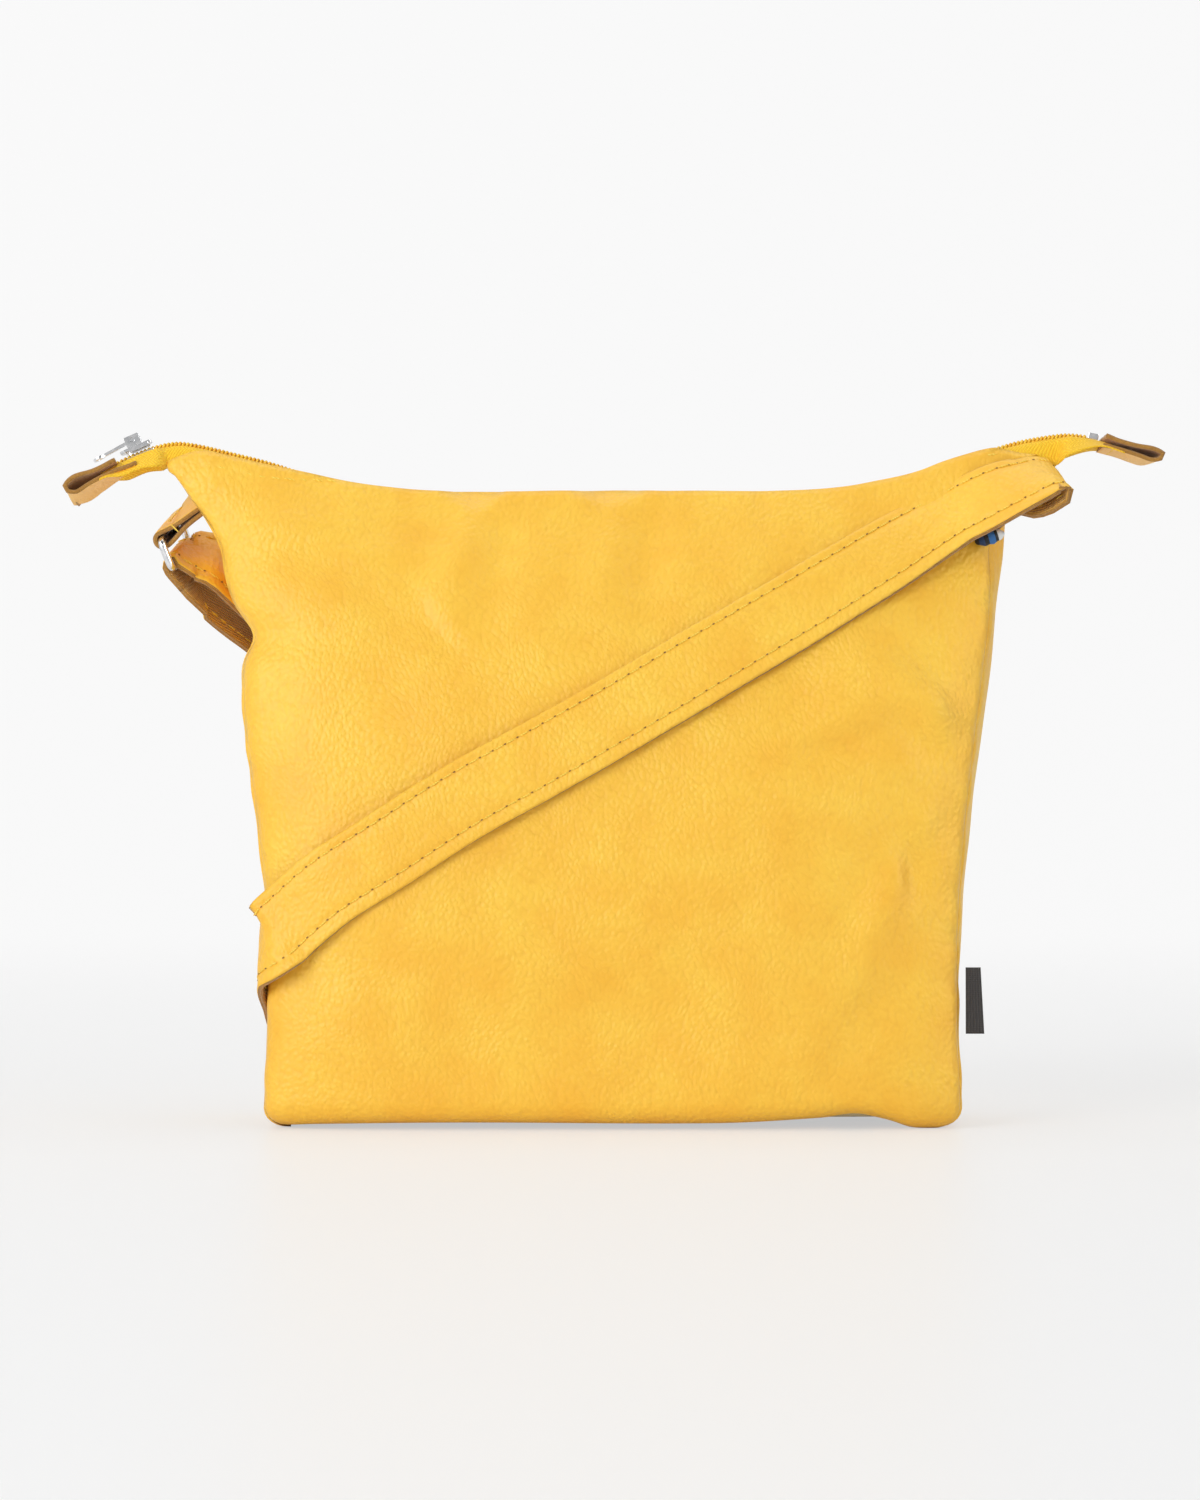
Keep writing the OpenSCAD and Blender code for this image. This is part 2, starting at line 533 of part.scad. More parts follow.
strap_points = concat([for (p = strap_route_start) p + shift_right],
    [for (p = front_run) on_front(p[0], p[1])], strap_route_left,
    [for (q = [0, 60, 120, 180]) hairpin_pt(q)], leg_points,
    [ring_low + leg_in * ring_lead + leg_side * 2.6, ring_low + leg_in * 8 + leg_side * 3],
    arc(ring_low, leg_side, leg_in, ring_turn, 0, -180, 4), [ring_low + leg_in * 9 - leg_side * 3.4]);
strap_w_start = [[0.05, 0.98, 0.15], [-0.1, 0.93, 0.3], [-0.18, 0.88, 0.4], [-0.25, 0.84, 0.45],
                 [-0.3, 0.82, 0.48], [-0.33, 0.79, 0.52], [-0.36, 0.73, 0.58], [-0.42, 0.55, 0.72]];
strap_w_left = [[-0.45, 0.2, 0.85], [-0.2, 0.4, 0.88], [0.02, 0.5, 0.86], [0.02, 0.45, 0.89],
                [0.05, 0.35, 0.93], [0.1, 0.15, 0.98], [0, 0, 1], [0, 0, 1], [0, 0, 1], [0, 0, 1]];
strap_across = concat(strap_w_start,
    [for (p = front_run) way_on_front(p[0], p[1])], strap_w_left,
    [for (q = [0, 60, 120, 180]) hairpin_w(q)], [for (p = leg_points) leg_across],
    [ring_mix], [for (i = [0 : 6]) ring_across]);
strap_route = placed(strap_points);
strap_ways = placed(strap_across);
strap_end = len(strap_points) - 1;
front_at = len(strap_route_start);
left_at = front_at + len(front_run);
foot_at = left_at + len(strap_route_left) - 3;
hairpin_at = foot_at + 3;
leg_at = hairpin_at + 4;
ring_at = leg_at + len(leg_points);
strap_places = concat(run(0, front_at - 0.5, 22), run(front_at, left_at - 1, 18),
    run(left_at - 0.6, foot_at, 18), run(foot_at + 1, hairpin_at - 0.5, 4),
    run(hairpin_at - 0.2, leg_at, 14), run(leg_at + 1, ring_at - 1, 4),
    run(ring_at - 0.6, ring_at + 1, 6), run(ring_at + 1.5, strap_end - 0.18, 12));
module strap_leather() {
    color(leather) band(strap_route, strap_ways, strap_places, strap_w,
                        -strap_t / 2 + webbing_t, strap_t / 2);
}
module strap_webbing() {
    color(suede) band(strap_route, strap_ways, strap_places, strap_w, -strap_t / 2, -strap_t / 2 + webbing_t);
}

// Adjuster: two outer bars on the bag's side of the running strap, and a middle bar on its far side
// that carries the strap's sewn end. It slides along the straight leg.
adjuster_at = leg_high - leg_dir * tail_l;
adjuster_out = -cross(leg_across, leg_dir);
bar_near = strap_t / 2 + bar_play + bar_d / 2;
bar_far = strap_t / 2 + bar_play + strap_t + 0.1 + bar_d / 2;
module on_adjuster() {
    multmatrix([for (i = [0 : 2]) [leg_across[i], leg_dir[i], adjuster_out[i], adjuster_at[i]]]) children();
}
adjuster_half = strap_w / 2 + strap_play;
module adjuster_frame() {
    color(steel) on_adjuster() {
        for (end = [-1, 1])
            bar_x([-adjuster_half, end * bar_step, -bar_near],
                  [adjuster_half, end * bar_step, -bar_near], bar_d);
        for (side = [-1, 1]) difference() {
            union() {
                translate([side * (adjuster_half + bar_d / 2), 0, -bar_near])
                    cube([bar_d, 2 * bar_step + bar_d, bar_d], center = true);
                translate([side * (adjuster_half + bar_d / 2), 0, (bar_far - bar_near) / 2])
                    cube([bar_d, bar_d * 1.8, bar_far + bar_near + bar_d], center = true);
            }
            bar_x([-2 * adjuster_half, 0, bar_far], [2 * adjuster_half, 0, bar_far], bar_d * 0.7);
        }
    }
}
module adjuster_bar() {
    color(steel) on_adjuster() {
        bar_x([-adjuster_half + 0.05, 0, bar_far], [adjuster_half - 0.05, 0, bar_far], bar_d);
        bar_x([-adjuster_half - bar_d * 0.8, 0, bar_far], [adjuster_half + bar_d * 0.8, 0, bar_far],
              bar_d * 0.7 - 0.02);
    }
}
function by_adjuster(along, out) = adjuster_at + leg_dir * along + adjuster_out * out;
loop_turn = bar_d / 2 + 0.1 + strap_t / 2;
end_fold = 22;
end_points = concat([by_adjuster(end_fold, bar_far + 1.4), by_adjuster(7, bar_far + loop_turn)],
    arc(by_adjuster(0, bar_far), adjuster_out, leg_dir, loop_turn, 0, -180, 6),
    [by_adjuster(7, bar_far - loop_turn), by_adjuster(end_fold, bar_far - loop_turn)]);
end_route = placed(end_points);
end_last = len(end_points) - 1;
end_ways = [[0, leg_across], [end_last, leg_across]];
module strap_end_loop() {
    color(leather) band(end_route, end_ways, run(0, end_last, 24), strap_w, -strap_t / 2, strap_t / 2);
}
// The doubled end lies beside the running strap at a distance that grows from the ring to the loop
function beside(at, gap) = let (f = band_frame(strap_route, strap_ways, at)) f[0] - f[2] * gap;
function way_at(at) = band_frame(strap_route, strap_ways, at)[1];
tail_stations = [[ring_at - 1, 12], [ring_at - 1.7, bar_far + 2.5]];
tail_lead_share = 0.3;
function tail_placed(list) = [for (i = [0 : len(list) - 1]) [i == 0 ? 0 : i - 1 + tail_lead_share, list[i]]];
tail_route = tail_placed(concat(
    [strap_points[strap_end], ring_low + leg_in * ring_lead - leg_side * 6.8],
    [for (q = tail_stations) beside(q[0], q[1])], [by_adjuster(end_fold + 0.1, bar_far + 1.4)]));
tail_ways = tail_placed(concat([ring_across, ring_mix], [for (q = tail_stations) way_at(q[0])],
    [leg_across]));
module tail_layer(low, high, width) {
    band(tail_route, tail_ways, run(0.035, 3.29, 22), width, low, high);
}
module strap_tail() { color(leather) tail_layer(-strap_t / 2 + webbing_t, strap_t / 2, strap_w); }
module strap_tail_webbing() { color(suede) tail_layer(-strap_t / 2, -strap_t / 2 + webbing_t, strap_w); }

// Woven label and striped loop, both sewn into the right front seam
label_t = 0.7;
module side_label() {
    k = (label_z + label_h / 2) / mouth_h;
    color("#211C1A") translate([half_w(k, 1) + 0.3, -face_y(k, 1, 0) - label_t - 0.1, label_z])
        cube([label_w, label_t, label_h]);
}
loop_z = 224;
module seam_loop() {
    k = (loop_z - ear(half_w(0.93, 1))) / mouth_h;
    color("#1F3C78") translate([half_w(k, 1) - 2, -face_y(k, 1, 0) - loop_d / 2 - 1, loop_z])
        rotate([0, 72, 0]) {
            cylinder(d = loop_d, h = 6, center = true, $fn = 32);
            for (end = [-3, 3]) translate([0, 0, end]) sphere(d = loop_d, $fn = 32);
        }
}

front_panel();
back_panel();
left_gusset();
right_gusset();
base_panel();
front_facing();
back_facing();
lining_front();
lining_back();
lining_left();
lining_right();
lining_base();
slip_pocket();
zip_tape_front();
zip_tape_back();
zip_coil_front();
zip_coil_back();
zip_top_stops();
zip_bottom_stop();
slider_body();
slider_pin();
slider_pull();
end_tab_left();
end_tab_right();
ring_tab();
strap_ring();
strap_leather();
strap_webbing();
strap_tail();
strap_tail_webbing();
adjuster_frame();
adjuster_bar();
strap_end_loop();
side_label();
seam_loop();
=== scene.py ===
"""Trapeze shoulder bag in soft yellow leather, standing with its strap folded round it.

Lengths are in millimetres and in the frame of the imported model, +Z up and the front at -Y, until
a mesh is written in metres. The shape functions are those of the part's source, and some of its
tables are refined here.
"""
import functools
import math

import bmesh
import bpy
from mathutils import Matrix, Vector, noise


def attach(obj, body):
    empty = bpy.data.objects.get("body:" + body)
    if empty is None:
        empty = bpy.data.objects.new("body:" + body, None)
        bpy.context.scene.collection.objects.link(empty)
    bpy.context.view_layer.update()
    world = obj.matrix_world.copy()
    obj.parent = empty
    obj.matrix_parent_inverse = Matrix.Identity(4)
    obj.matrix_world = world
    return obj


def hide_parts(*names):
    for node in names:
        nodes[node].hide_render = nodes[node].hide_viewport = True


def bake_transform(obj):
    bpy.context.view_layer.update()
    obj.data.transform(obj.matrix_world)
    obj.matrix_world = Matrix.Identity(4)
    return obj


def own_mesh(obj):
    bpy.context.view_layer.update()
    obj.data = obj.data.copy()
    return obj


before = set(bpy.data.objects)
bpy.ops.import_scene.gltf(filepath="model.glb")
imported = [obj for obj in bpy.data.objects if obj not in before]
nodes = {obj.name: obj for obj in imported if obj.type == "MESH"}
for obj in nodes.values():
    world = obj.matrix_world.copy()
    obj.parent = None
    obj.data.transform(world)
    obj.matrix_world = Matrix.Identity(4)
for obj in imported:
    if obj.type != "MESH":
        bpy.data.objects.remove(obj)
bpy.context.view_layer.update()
scene = bpy.context.scene
MM = 0.001


# ---------------------------------------------------------------- camera, stage and lamps
def add_camera():
    camera = bpy.data.objects.new("camera", bpy.data.cameras.new("camera"))
    camera.data.lens = 112.2
    camera.data.sensor_width = 36
    camera.location = (-0.00462, -1.8, 0.143)
    camera.rotation_euler = (math.radians(90), 0, 0)
    scene.collection.objects.link(camera)
    scene.camera = camera


def linear(hex_colour):
    """sRGB hex, as #FFCC4D, to linear RGBA."""
    parts = [int(hex_colour[i:i + 2], 16) / 255 for i in (1, 3, 5)]
    return [c / 12.92 if c <= 0.04045 else ((c + 0.055) / 1.055) ** 2.4 for c in parts] + [1]


def add(tree, kind, inputs=None, stops=(), **settings):
    """Adds a shader node with its settings, and its inputs as values, or as nodes or sockets to link.

    The stops of a colour ramp are pairs of a place and a colour, in sRGB hex or as a grey share.
    """
    made = tree.nodes.new("ShaderNode" + kind)
    for key, value in settings.items():
        setattr(made, key, value)
    for key, value in (inputs or {}).items():
        if isinstance(value, bpy.types.Node):
            value = value.outputs[0]
        if isinstance(value, bpy.types.NodeSocket):
            tree.links.new(value, made.inputs[key])
        else:
            made.inputs[key].default_value = value
    if stops:
        places = made.color_ramp.elements
        while len(places) < len(stops):
            places.new(0.5)
        for place, (at, colour) in zip(places, stops):
            place.position = at
            place.color = linear(colour) if isinstance(colour, str) else (colour, colour, colour, 1)
    return made


def new_material(name, coordinates="Object"):
    """A material, its empty tree, and the coordinates that its patterns follow."""
    material = bpy.data.materials.new(name)
    material.use_nodes = True
    tree = material.node_tree
    tree.nodes.clear()
    return material, tree, add(tree, "TexCoord").outputs[coordinates]


def finish_material(material, inputs, height=None, depth_mm=0.0, strength=1.0):
    """Principled surface with a bump whose full depth is given in millimetres."""
    tree = material.node_tree
    if height is not None:
        inputs["Normal"] = add(tree, "Bump", {"Height": height, "Distance": depth_mm * MM,
                                              "Strength": strength})
    add(tree, "OutputMaterial", {"Surface": add(tree, "BsdfPrincipled", inputs)})
    return material


def per_mm(size_mm):
    """Texture scale on metres for a feature of this size."""
    return 1000 / size_mm


# Leather: chrome-tanned cowhide, milled soft and pigment-finished yellow. The milling leaves small
# rounded pebbles with fine creases between them, and the finish a low satin gloss.
def make_leather(name, light, deep, crease_shade, pebble_mm=1.6, roughness=0.45):
    material, tree, place = new_material(name)
    swirl = add(tree, "TexNoise", {"Vector": place, "Scale": per_mm(34), "Detail": 1.0})
    drifted = add(tree, "MixRGB", {"Fac": 0.01, "Color1": place, "Color2": swirl.outputs["Color"]},
                  blend_type="ADD")
    # The grain runs a little longer up and down the hide than across it
    drawn = add(tree, "Mapping", {"Vector": drifted, "Scale": (1.0, 1.0, 0.8)})
    pebbles = add(tree, "TexVoronoi", {"Vector": drawn, "Scale": per_mm(pebble_mm), "Smoothness": 0.5},
                  feature="SMOOTH_F1")
    fine = add(tree, "TexNoise", {"Vector": drawn, "Scale": per_mm(0.8), "Detail": 3.0})
    pull = add(tree, "TexNoise", {"Vector": place, "Scale": per_mm(24), "Detail": 3.0})
    pebble = add(tree, "Math", {0: 1.0, 1: pebbles}, operation="SUBTRACT")
    strength = add(tree, "MapRange", {"Value": pull, "From Min": 0.35, "From Max": 0.68,
                                      "To Min": 0.55, "To Max": 1.0})
    height = add(tree, "Math", {0: pebble, 1: strength}, operation="MULTIPLY")
    height = add(tree, "Math", {0: fine, 1: 0.3, 2: height}, operation="MULTIPLY_ADD")
    tone = add(tree, "ValToRGB", {"Fac": pull}, [(0.3, deep), (0.7, light)])
    # The creases between the pebbles are mixed toward the crease colour: painted shade in the grain's creases
    between = add(tree, "ValToRGB", {"Fac": pebbles}, [(0.45, 0.0), (0.95, 1.0)])
    share = add(tree, "Math", {0: between, 1: 0.22}, operation="MULTIPLY")
    colour = add(tree, "Mix", {0: share, 6: tone, 7: linear(crease_shade)}, data_type="RGBA").outputs[2]
    return finish_material(material, {
        "Base Color": colour, "Roughness": roughness, "IOR": 1.45, "Specular IOR Level": 0.6,
        "Sheen Weight": 0.05, "Sheen Roughness": 0.5}, height, 0.45)


# Raw split leather: the flesh side and the cut edges, brushed fibres dyed through to a tan brown.
def make_raw_leather(name, light, dark, fibre_mm=0.7):
    material, tree, place = new_material(name)
    fibre = add(tree, "TexNoise", {"Vector": place, "Scale": per_mm(fibre_mm), "Detail": 5.0,
                                   "Roughness": 0.7})
    cloud = add(tree, "TexNoise", {"Vector": place, "Scale": per_mm(7), "Detail": 2.0})
    share = add(tree, "Math", {0: cloud, 1: 0.6}, operation="MULTIPLY")
    tone = add(tree, "ValToRGB", {"Fac": fibre}, [(0.32, dark), (0.66, light)])
    colour = add(tree, "Mix", {0: share, 6: tone, 7: linear(light)}, data_type="RGBA").outputs[2]
    return finish_material(material, {
        "Base Color": colour, "Roughness": 0.95, "Sheen Weight": 0.35, "Sheen Roughness": 0.6,
        "Specular IOR Level": 0.2}, fibre, 0.35, 0.8)


# Woven polyester or cotton, drawn on the piece's own UV map in metres: x across it and y along it.
def woven_lines(tree, along, pitch_mm, angle):
    """Rounded ribs, 0 in the gap and 1 on the crest, turned by angle from the piece's length."""
    turned = add(tree, "Mapping", {"Vector": along, "Rotation": (0, 0, math.radians(angle))})
    across = add(tree, "SeparateXYZ", {0: turned})
    phase = add(tree, "Math", {0: across, 1: per_mm(pitch_mm) * math.tau}, operation="MULTIPLY")
    wave = add(tree, "Math", {0: phase}, operation="SINE")
    return add(tree, "Math", {0: wave, 1: 0.5, 2: 0.5}, operation="MULTIPLY_ADD")


def make_webbing(name, light, dark, pitch_mm=1.5, angle=14):
    """Strap webbing: lengthwise warp ribs in a flat twill, tan brown, with a dull thread sheen."""
    material, tree, place = new_material(name, "UV")
    ribs = woven_lines(tree, place, pitch_mm, angle)
    picks = woven_lines(tree, place, 0.9, angle + 70)
    height = add(tree, "Math", {0: picks, 1: 0.35, 2: ribs}, operation="MULTIPLY_ADD")
    fuzz = add(tree, "TexNoise", {"Vector": place, "Scale": per_mm(1.1), "Detail": 4.0})
    # The gaps between the ribs are drawn darker from the weave's relief: painted shade; the fuzz adds a
    # random tone
    relief = add(tree, "Math", {0: height, 1: 0.5}, operation="MULTIPLY")
    fuzz_and_rib_gap_shade = add(tree, "Math", {0: fuzz, 1: 0.45, 2: relief}, operation="MULTIPLY_ADD")
    colour = add(tree, "ValToRGB", {"Fac": fuzz_and_rib_gap_shade}, [(0.22, dark), (0.75, light)])
    return finish_material(material, {"Base Color": colour, "Roughness": 0.85, "Sheen Weight": 0.2},
                           height, 0.45, 0.9)


def make_zip_tape(name, light, dark):
    """Zip tape: polyester woven in a fine herringbone, bright yellow, slightly silky."""
    material, tree, place = new_material(name, "UV")
    split = add(tree, "SeparateXYZ", {0: place})
    fold = add(tree, "Math", {0: split, 1: 2.6 * MM}, operation="PINGPONG")
    folded = add(tree, "CombineXYZ", {0: fold, 1: split.outputs[1]})
    twill = woven_lines(tree, folded, 0.95, 48)
    # The colour follows the twill's relief, darker in its grooves: painted shade
    colour = add(tree, "ValToRGB", {"Fac": twill}, [(0.1, dark), (0.8, light)])
    return finish_material(material, {"Base Color": colour, "Roughness": 0.68, "Sheen Weight": 0.1},
                           twill, 0.2, 0.7)


def make_cloth(name, light, dark, thread_mm=0.8):
    """Plain-woven lining cotton, undyed beige and matt."""
    material, tree, place = new_material(name, "UV")
    warp, weft = (woven_lines(tree, place, thread_mm, angle) for angle in (0, 90))
    height = add(tree, "Math", {0: warp, 1: weft}, operation="MULTIPLY")
    # The colour follows the weave's relief, darker between the threads: painted shade
    colour = add(tree, "ValToRGB", {"Fac": height}, [(0.0, dark), (0.7, light)])
    return finish_material(material, {"Base Color": colour, "Roughness": 0.9, "Sheen Weight": 0.1},
                           height, 0.2, 0.8)


# Sewing thread: bonded polyester, twisted from three plies, a paler and clearer yellow.
def make_thread(name, light, dark):
    material, tree, place = new_material(name)
    plies = add(tree, "TexWave", {"Vector": place, "Scale": per_mm(2.4), "Distortion": 1.5},
                wave_type="BANDS", bands_direction="DIAGONAL").outputs["Fac"]
    # The colour follows the plies' relief, darker in the grooves of the twist: painted shade
    colour = add(tree, "ValToRGB", {"Fac": plies}, [(0.2, dark), (0.7, light)])
    return finish_material(material, {"Base Color": colour, "Roughness": 0.55, "Sheen Weight": 0.1},
                           plies, 0.12, 0.7)


def make_coil(name, light, dark):
    """Zip coil: nylon monofilament, melt-dyed yellow, smooth with a soft gloss."""
    material, tree, place = new_material(name)
    scuff = add(tree, "TexNoise", {"Vector": place, "Scale": per_mm(3), "Detail": 3.0})
    colour = add(tree, "ValToRGB", {"Fac": scuff}, [(0.3, dark), (0.7, light)])
    roughness = add(tree, "Math", {0: scuff, 1: 0.2, 2: 0.32}, operation="MULTIPLY_ADD")
    return finish_material(material, {"Base Color": colour, "Roughness": roughness, "IOR": 1.53})


def make_plated(name, bright, dull):
    """Die-cast zinc with nickel plate, tumbled bright: fine handling marks dull it in places."""
    material, tree, place = new_material(name)
    marks = add(tree, "TexNoise", {"Vector": place, "Scale": per_mm(2.5), "Detail": 3.0, "Roughness": 0.5})
    colour = add(tree, "ValToRGB", {"Fac": marks}, [(0.3, dull), (0.65, bright)])
    roughness = add(tree, "Math", {0: marks, 1: 0.14, 2: 0.1}, operation="MULTIPLY_ADD")
    return finish_material(material, {"Base Color": colour, "Metallic": 1.0, "Roughness": roughness})


def make_label(name, light, dark):
    """Woven damask label, black polyester satin with fine crosswise threads."""
    material, tree, place = new_material(name, "UV")
    picks, ends = woven_lines(tree, place, 0.8, 90), woven_lines(tree, place, 1.1, 0)
    height = add(tree, "Math", {0: picks, 1: 0.6, 2: ends}, operation="MULTIPLY_ADD")
    # The colour follows the weave's relief, darker between the threads: painted shade
    colour = add(tree, "ValToRGB", {"Fac": height}, [(0.1, dark), (0.95, light)])
    return finish_material(material, {"Base Color": colour, "Roughness": 0.6, "Sheen Weight": 0.15},
                           height, 0.15, 0.8)


def make_striped(name):
    """Woven cord loop in blue, navy, black and white bands."""
    material, tree, place = new_material(name, "UV")
    along = add(tree, "SeparateXYZ", {0: place})
    bands = add(tree, "ValToRGB", {"Fac": along}, [
        (0, "#10131B"), (0.12, "#1C3A66"), (0.3, "#14181F"), (0.44, "#2E6CB0"), (0.66, "#0E1116"),
        (0.76, "#E9EEF2"), (0.95, "#C9D2DA")])
    bands.color_ramp.interpolation = "CONSTANT"
    threads = add(tree, "TexNoise", {"Vector": add(tree, "TexCoord").outputs["Object"],
                                     "Scale": per_mm(0.8), "Detail": 3.0})
    return finish_material(material, {"Base Color": bands, "Roughness": 0.6}, threads, 0.15)


LEATHER = make_leather("pebbled_leather", "#FFCD43", "#FBBF36", "#E6A228")
# The end tabs get a paler, peach copy of the body's leather: painted light that brightens their faces turned
# down from the lamps
LIT_TAB_LEATHER = make_leather("tab_leather_lit_pale", "#FFD183", "#FAC567", "#E0A043", 1.0, 0.6)
RAW_EDGE = make_raw_leather("raw_leather_edge", "#BE8A3C", "#7F5620", 0.6)
FLESH_SIDE = make_raw_leather("leather_flesh_side", "#CF9A45", "#A9742C", 0.8)
WEBBING = make_webbing("strap_webbing", "#F0BC58", "#BC8028")
ZIP_TAPE = make_zip_tape("zip_tape", "#FFD223", "#F8BE10")
ZIP_COIL = make_coil("zip_coil", "#FFDA45", "#F4B21C")
THREAD = make_thread("yellow_thread", "#FFDF5C", "#F3C63C")
# Dark dots for the needle holes: the bare leather in them, darkened with painted shade
NEEDLE_HOLE_SHADE = make_raw_leather("needle_hole_shade", "#A87620", "#83590F", 0.4)
LINING = make_cloth("lining_cotton", "#DCCFAB", "#B5A67F")
PLATED = make_plated("nickel_plate", "#F2F2F3", "#D9DBDE")
LABEL = make_label("woven_label", "#2B2522", "#120F0E")
STRIPED = make_striped("striped_cord")


def add_stage():
    """Pale sweep: a floor that curves up behind. It keeps the shadow, and shows pale to the camera."""
    near, back, turn, top, wide = -2.4, 1.3, 0.5, 2.6, 6
    bend = [math.radians(q) for q in range(0, 91, 6)]
    profile = [(near, 0)] + [(back + turn * math.sin(a), turn - turn * math.cos(a)) for a in bend]
    profile.append((back + turn, top))
    bm = bmesh.new()
    rail = [bm.verts.new((-wide / 2, y, z)) for y, z in profile]
    edges = [bm.edges.new(pair) for pair in zip(rail, rail[1:])]
    made = bmesh.ops.extrude_edge_only(bm, edges=edges)
    far_side = [v for v in made["geom"] if isinstance(v, bmesh.types.BMVert)]
    bmesh.ops.translate(bm, vec=(wide, 0, 0), verts=far_side)
    bmesh.ops.recalc_face_normals(bm, faces=bm.faces)
    mesh = bpy.data.meshes.new("sweep")
    bm.to_mesh(mesh)
    bm.free()
    for face in mesh.polygons:
        face.use_smooth = True
    sweep = bpy.data.objects.new("sweep", mesh)
    scene.collection.objects.link(sweep)
    material, tree, place = new_material("sweep_paper")
    lit = add(tree, "BsdfPrincipled", {"Base Color": linear("#F4F4F4"), "Roughness": 0.4})
    glow = add(tree, "Emission", {"Color": linear("#FAFAFA"), "Strength": 1.0})
    split = add(tree, "SeparateXYZ", {0: place}).outputs
    lift = add(tree, "Math", {0: split[2], 1: 3.0}, operation="MULTIPLY")
    away = add(tree, "Math", {0: split[1], 1: 0.25, 2: lift}, operation="MULTIPLY_ADD")
    rise = add(tree, "MapRange", {"Value": away, "From Min": 0.05, "From Max": 0.4, "To Min": 0.55,
                                  "To Max": 0.95})
    seen = add(tree, "LightPath").outputs["Is Camera Ray"]
    share = add(tree, "Math", {0: seen, 1: rise}, operation="MULTIPLY")
    add(tree, "OutputMaterial", {"Surface": add(tree, "MixShader", {0: share, 1: lit, 2: glow})})
    mesh.materials.append(material)


def add_studio():
    """World light, soft and even. The camera sees it pale."""
    world = bpy.data.worlds.new("studio")
    scene.world = world
    world.use_nodes = True
    tree = world.node_tree
    tree.nodes.clear()
    soft = add(tree, "Background", {"Color": (1, 1, 1, 1), "Strength": 0.46})
    pale = add(tree, "Background", {"Color": linear("#F7F7F7"), "Strength": 1.0})
    path = add(tree, "LightPath").outputs
    # What shines sees the studio: a dim room behind the camera, with a strip light on each side of it
    way = add(tree, "SeparateXYZ", {0: add(tree, "TexCoord").outputs["Generated"]}).outputs
    across, deep = (add(tree, "Math", {0: way[i], 1: 0.5, 2: 0.5}, operation="MULTIPLY_ADD")
                    for i in (0, 1))
    dim = add(tree, "ValToRGB", {"Fac": deep}, [(0.06, 0.5), (0.14, 0.1), (0.3, 0.3), (0.62, 0.9)])
    strips = add(tree, "ValToRGB", {"Fac": across}, [(0.02, 0.0), (0.06, 0.4), (0.13, 0.4), (0.2, 0.0),
                                                     (0.78, 0.0), (0.84, 1.0), (0.95, 1.0), (0.99, 0.0)])
    front = add(tree, "ValToRGB", {"Fac": deep}, [(0.38, 1.0), (0.5, 0.0)])
    strips = add(tree, "Math", {0: strips, 1: front}, operation="MULTIPLY")
    level = add(tree, "Math", {0: strips, 1: 4.5, 2: dim}, operation="MULTIPLY_ADD")
    room = add(tree, "Background", {"Color": (1, 1, 1, 1), "Strength": level})
    lit = add(tree, "MixShader", {0: path["Is Glossy Ray"], 1: soft, 2: room})
    mixed = add(tree, "MixShader", {0: path["Is Camera Ray"], 1: lit, 2: pale})
    add(tree, "OutputWorld", {"Surface": mixed})


def add_lamp(name, at, aim, size, watts):
    lamp = bpy.data.objects.new(name, bpy.data.lights.new(name, "AREA"))
    lamp.data.shape = "RECTANGLE"
    lamp.data.size, lamp.data.size_y = size
    lamp.data.energy = watts
    lamp.location = at
    lamp.rotation_euler = (Vector(aim) - Vector(at)).to_track_quat("-Z", "Y").to_euler()
    scene.collection.objects.link(lamp)


# ---------------------------------------------------------------- shape of the bag
BASE_W, BASE_D = 266, 96
MOUTH_W, MOUTH_H = 340, 242
MOUTH_GAP = 6.9
EAR_RISE = 16
ROLL = 10
LEATHER_T = 1.4
LINING_T = 0.6
SWELL = 5
# The left side is drawn in where its seam is folded: how far, at what share of the height, and the span
PINCH, PINCH_AT, PINCH_SPAN = 8, 0.752, 0.033
SEAM_GAP = 0.2
PLY_GAP = 0.4
LIP = 0.7
FLARE = [(0, 0), (0.2, 0), (0.41, 0.07), (0.54, 0.15), (0.66, 0.25), (0.75, 0.33), (0.85, 0.43),
         (0.92, 0.53), (0.965, 0.7), (1, 1)]
FULLNESS = [(0, 0.95), (0.15, 1), (0.4, 1), (0.55, 0.93), (0.7, 0.76), (0.85, 0.47), (0.95, 0.17), (1, 0)]
HEM_LINE = [(0, 0), (55, 0.01), (81, 0.12), (105, 0.31), (132, 0.69), (157, 1), (172, 0.75)]
LEFT_SWELL = [(0, 0.1), (0.05, -1), (0.16, -1.5), (0.3, -1.2), (0.42, -0.3), (0.5, 0), (0.62, -0.1),
              (0.8, -0.2), (0.88, 0.1), (0.95, 0.4), (1, 0.35)]
RIGHT_SWELL = [(0, 0), (0.15, -0.1), (0.33, -0.15), (0.6, 0.25), (0.8, 0.3), (0.88, 0.12), (0.94, -0.4),
               (1, -1.3)]
# How far the front panel's edge runs past its gusset's seam line at either side, minus where it falls short
LEFT_EAR = [(0, 0), (0.12, -1), (0.35, -2.5), (0.5, -1.2), (0.62, -0.5), (0.69, -1.6), (0.76, 0),
            (0.85, 0.3), (0.885, 1.8), (0.917, 6), (0.941, 8.5), (0.98, 7), (1, 1.5)]
RIGHT_EAR = [(0, 0), (0.12, -1.2), (0.33, -2.6), (0.55, -2), (0.76, -1.4), (0.81, -2), (0.868, -4.5),
             (0.92, -4.5), (0.97, -5), (1, -5.5)]
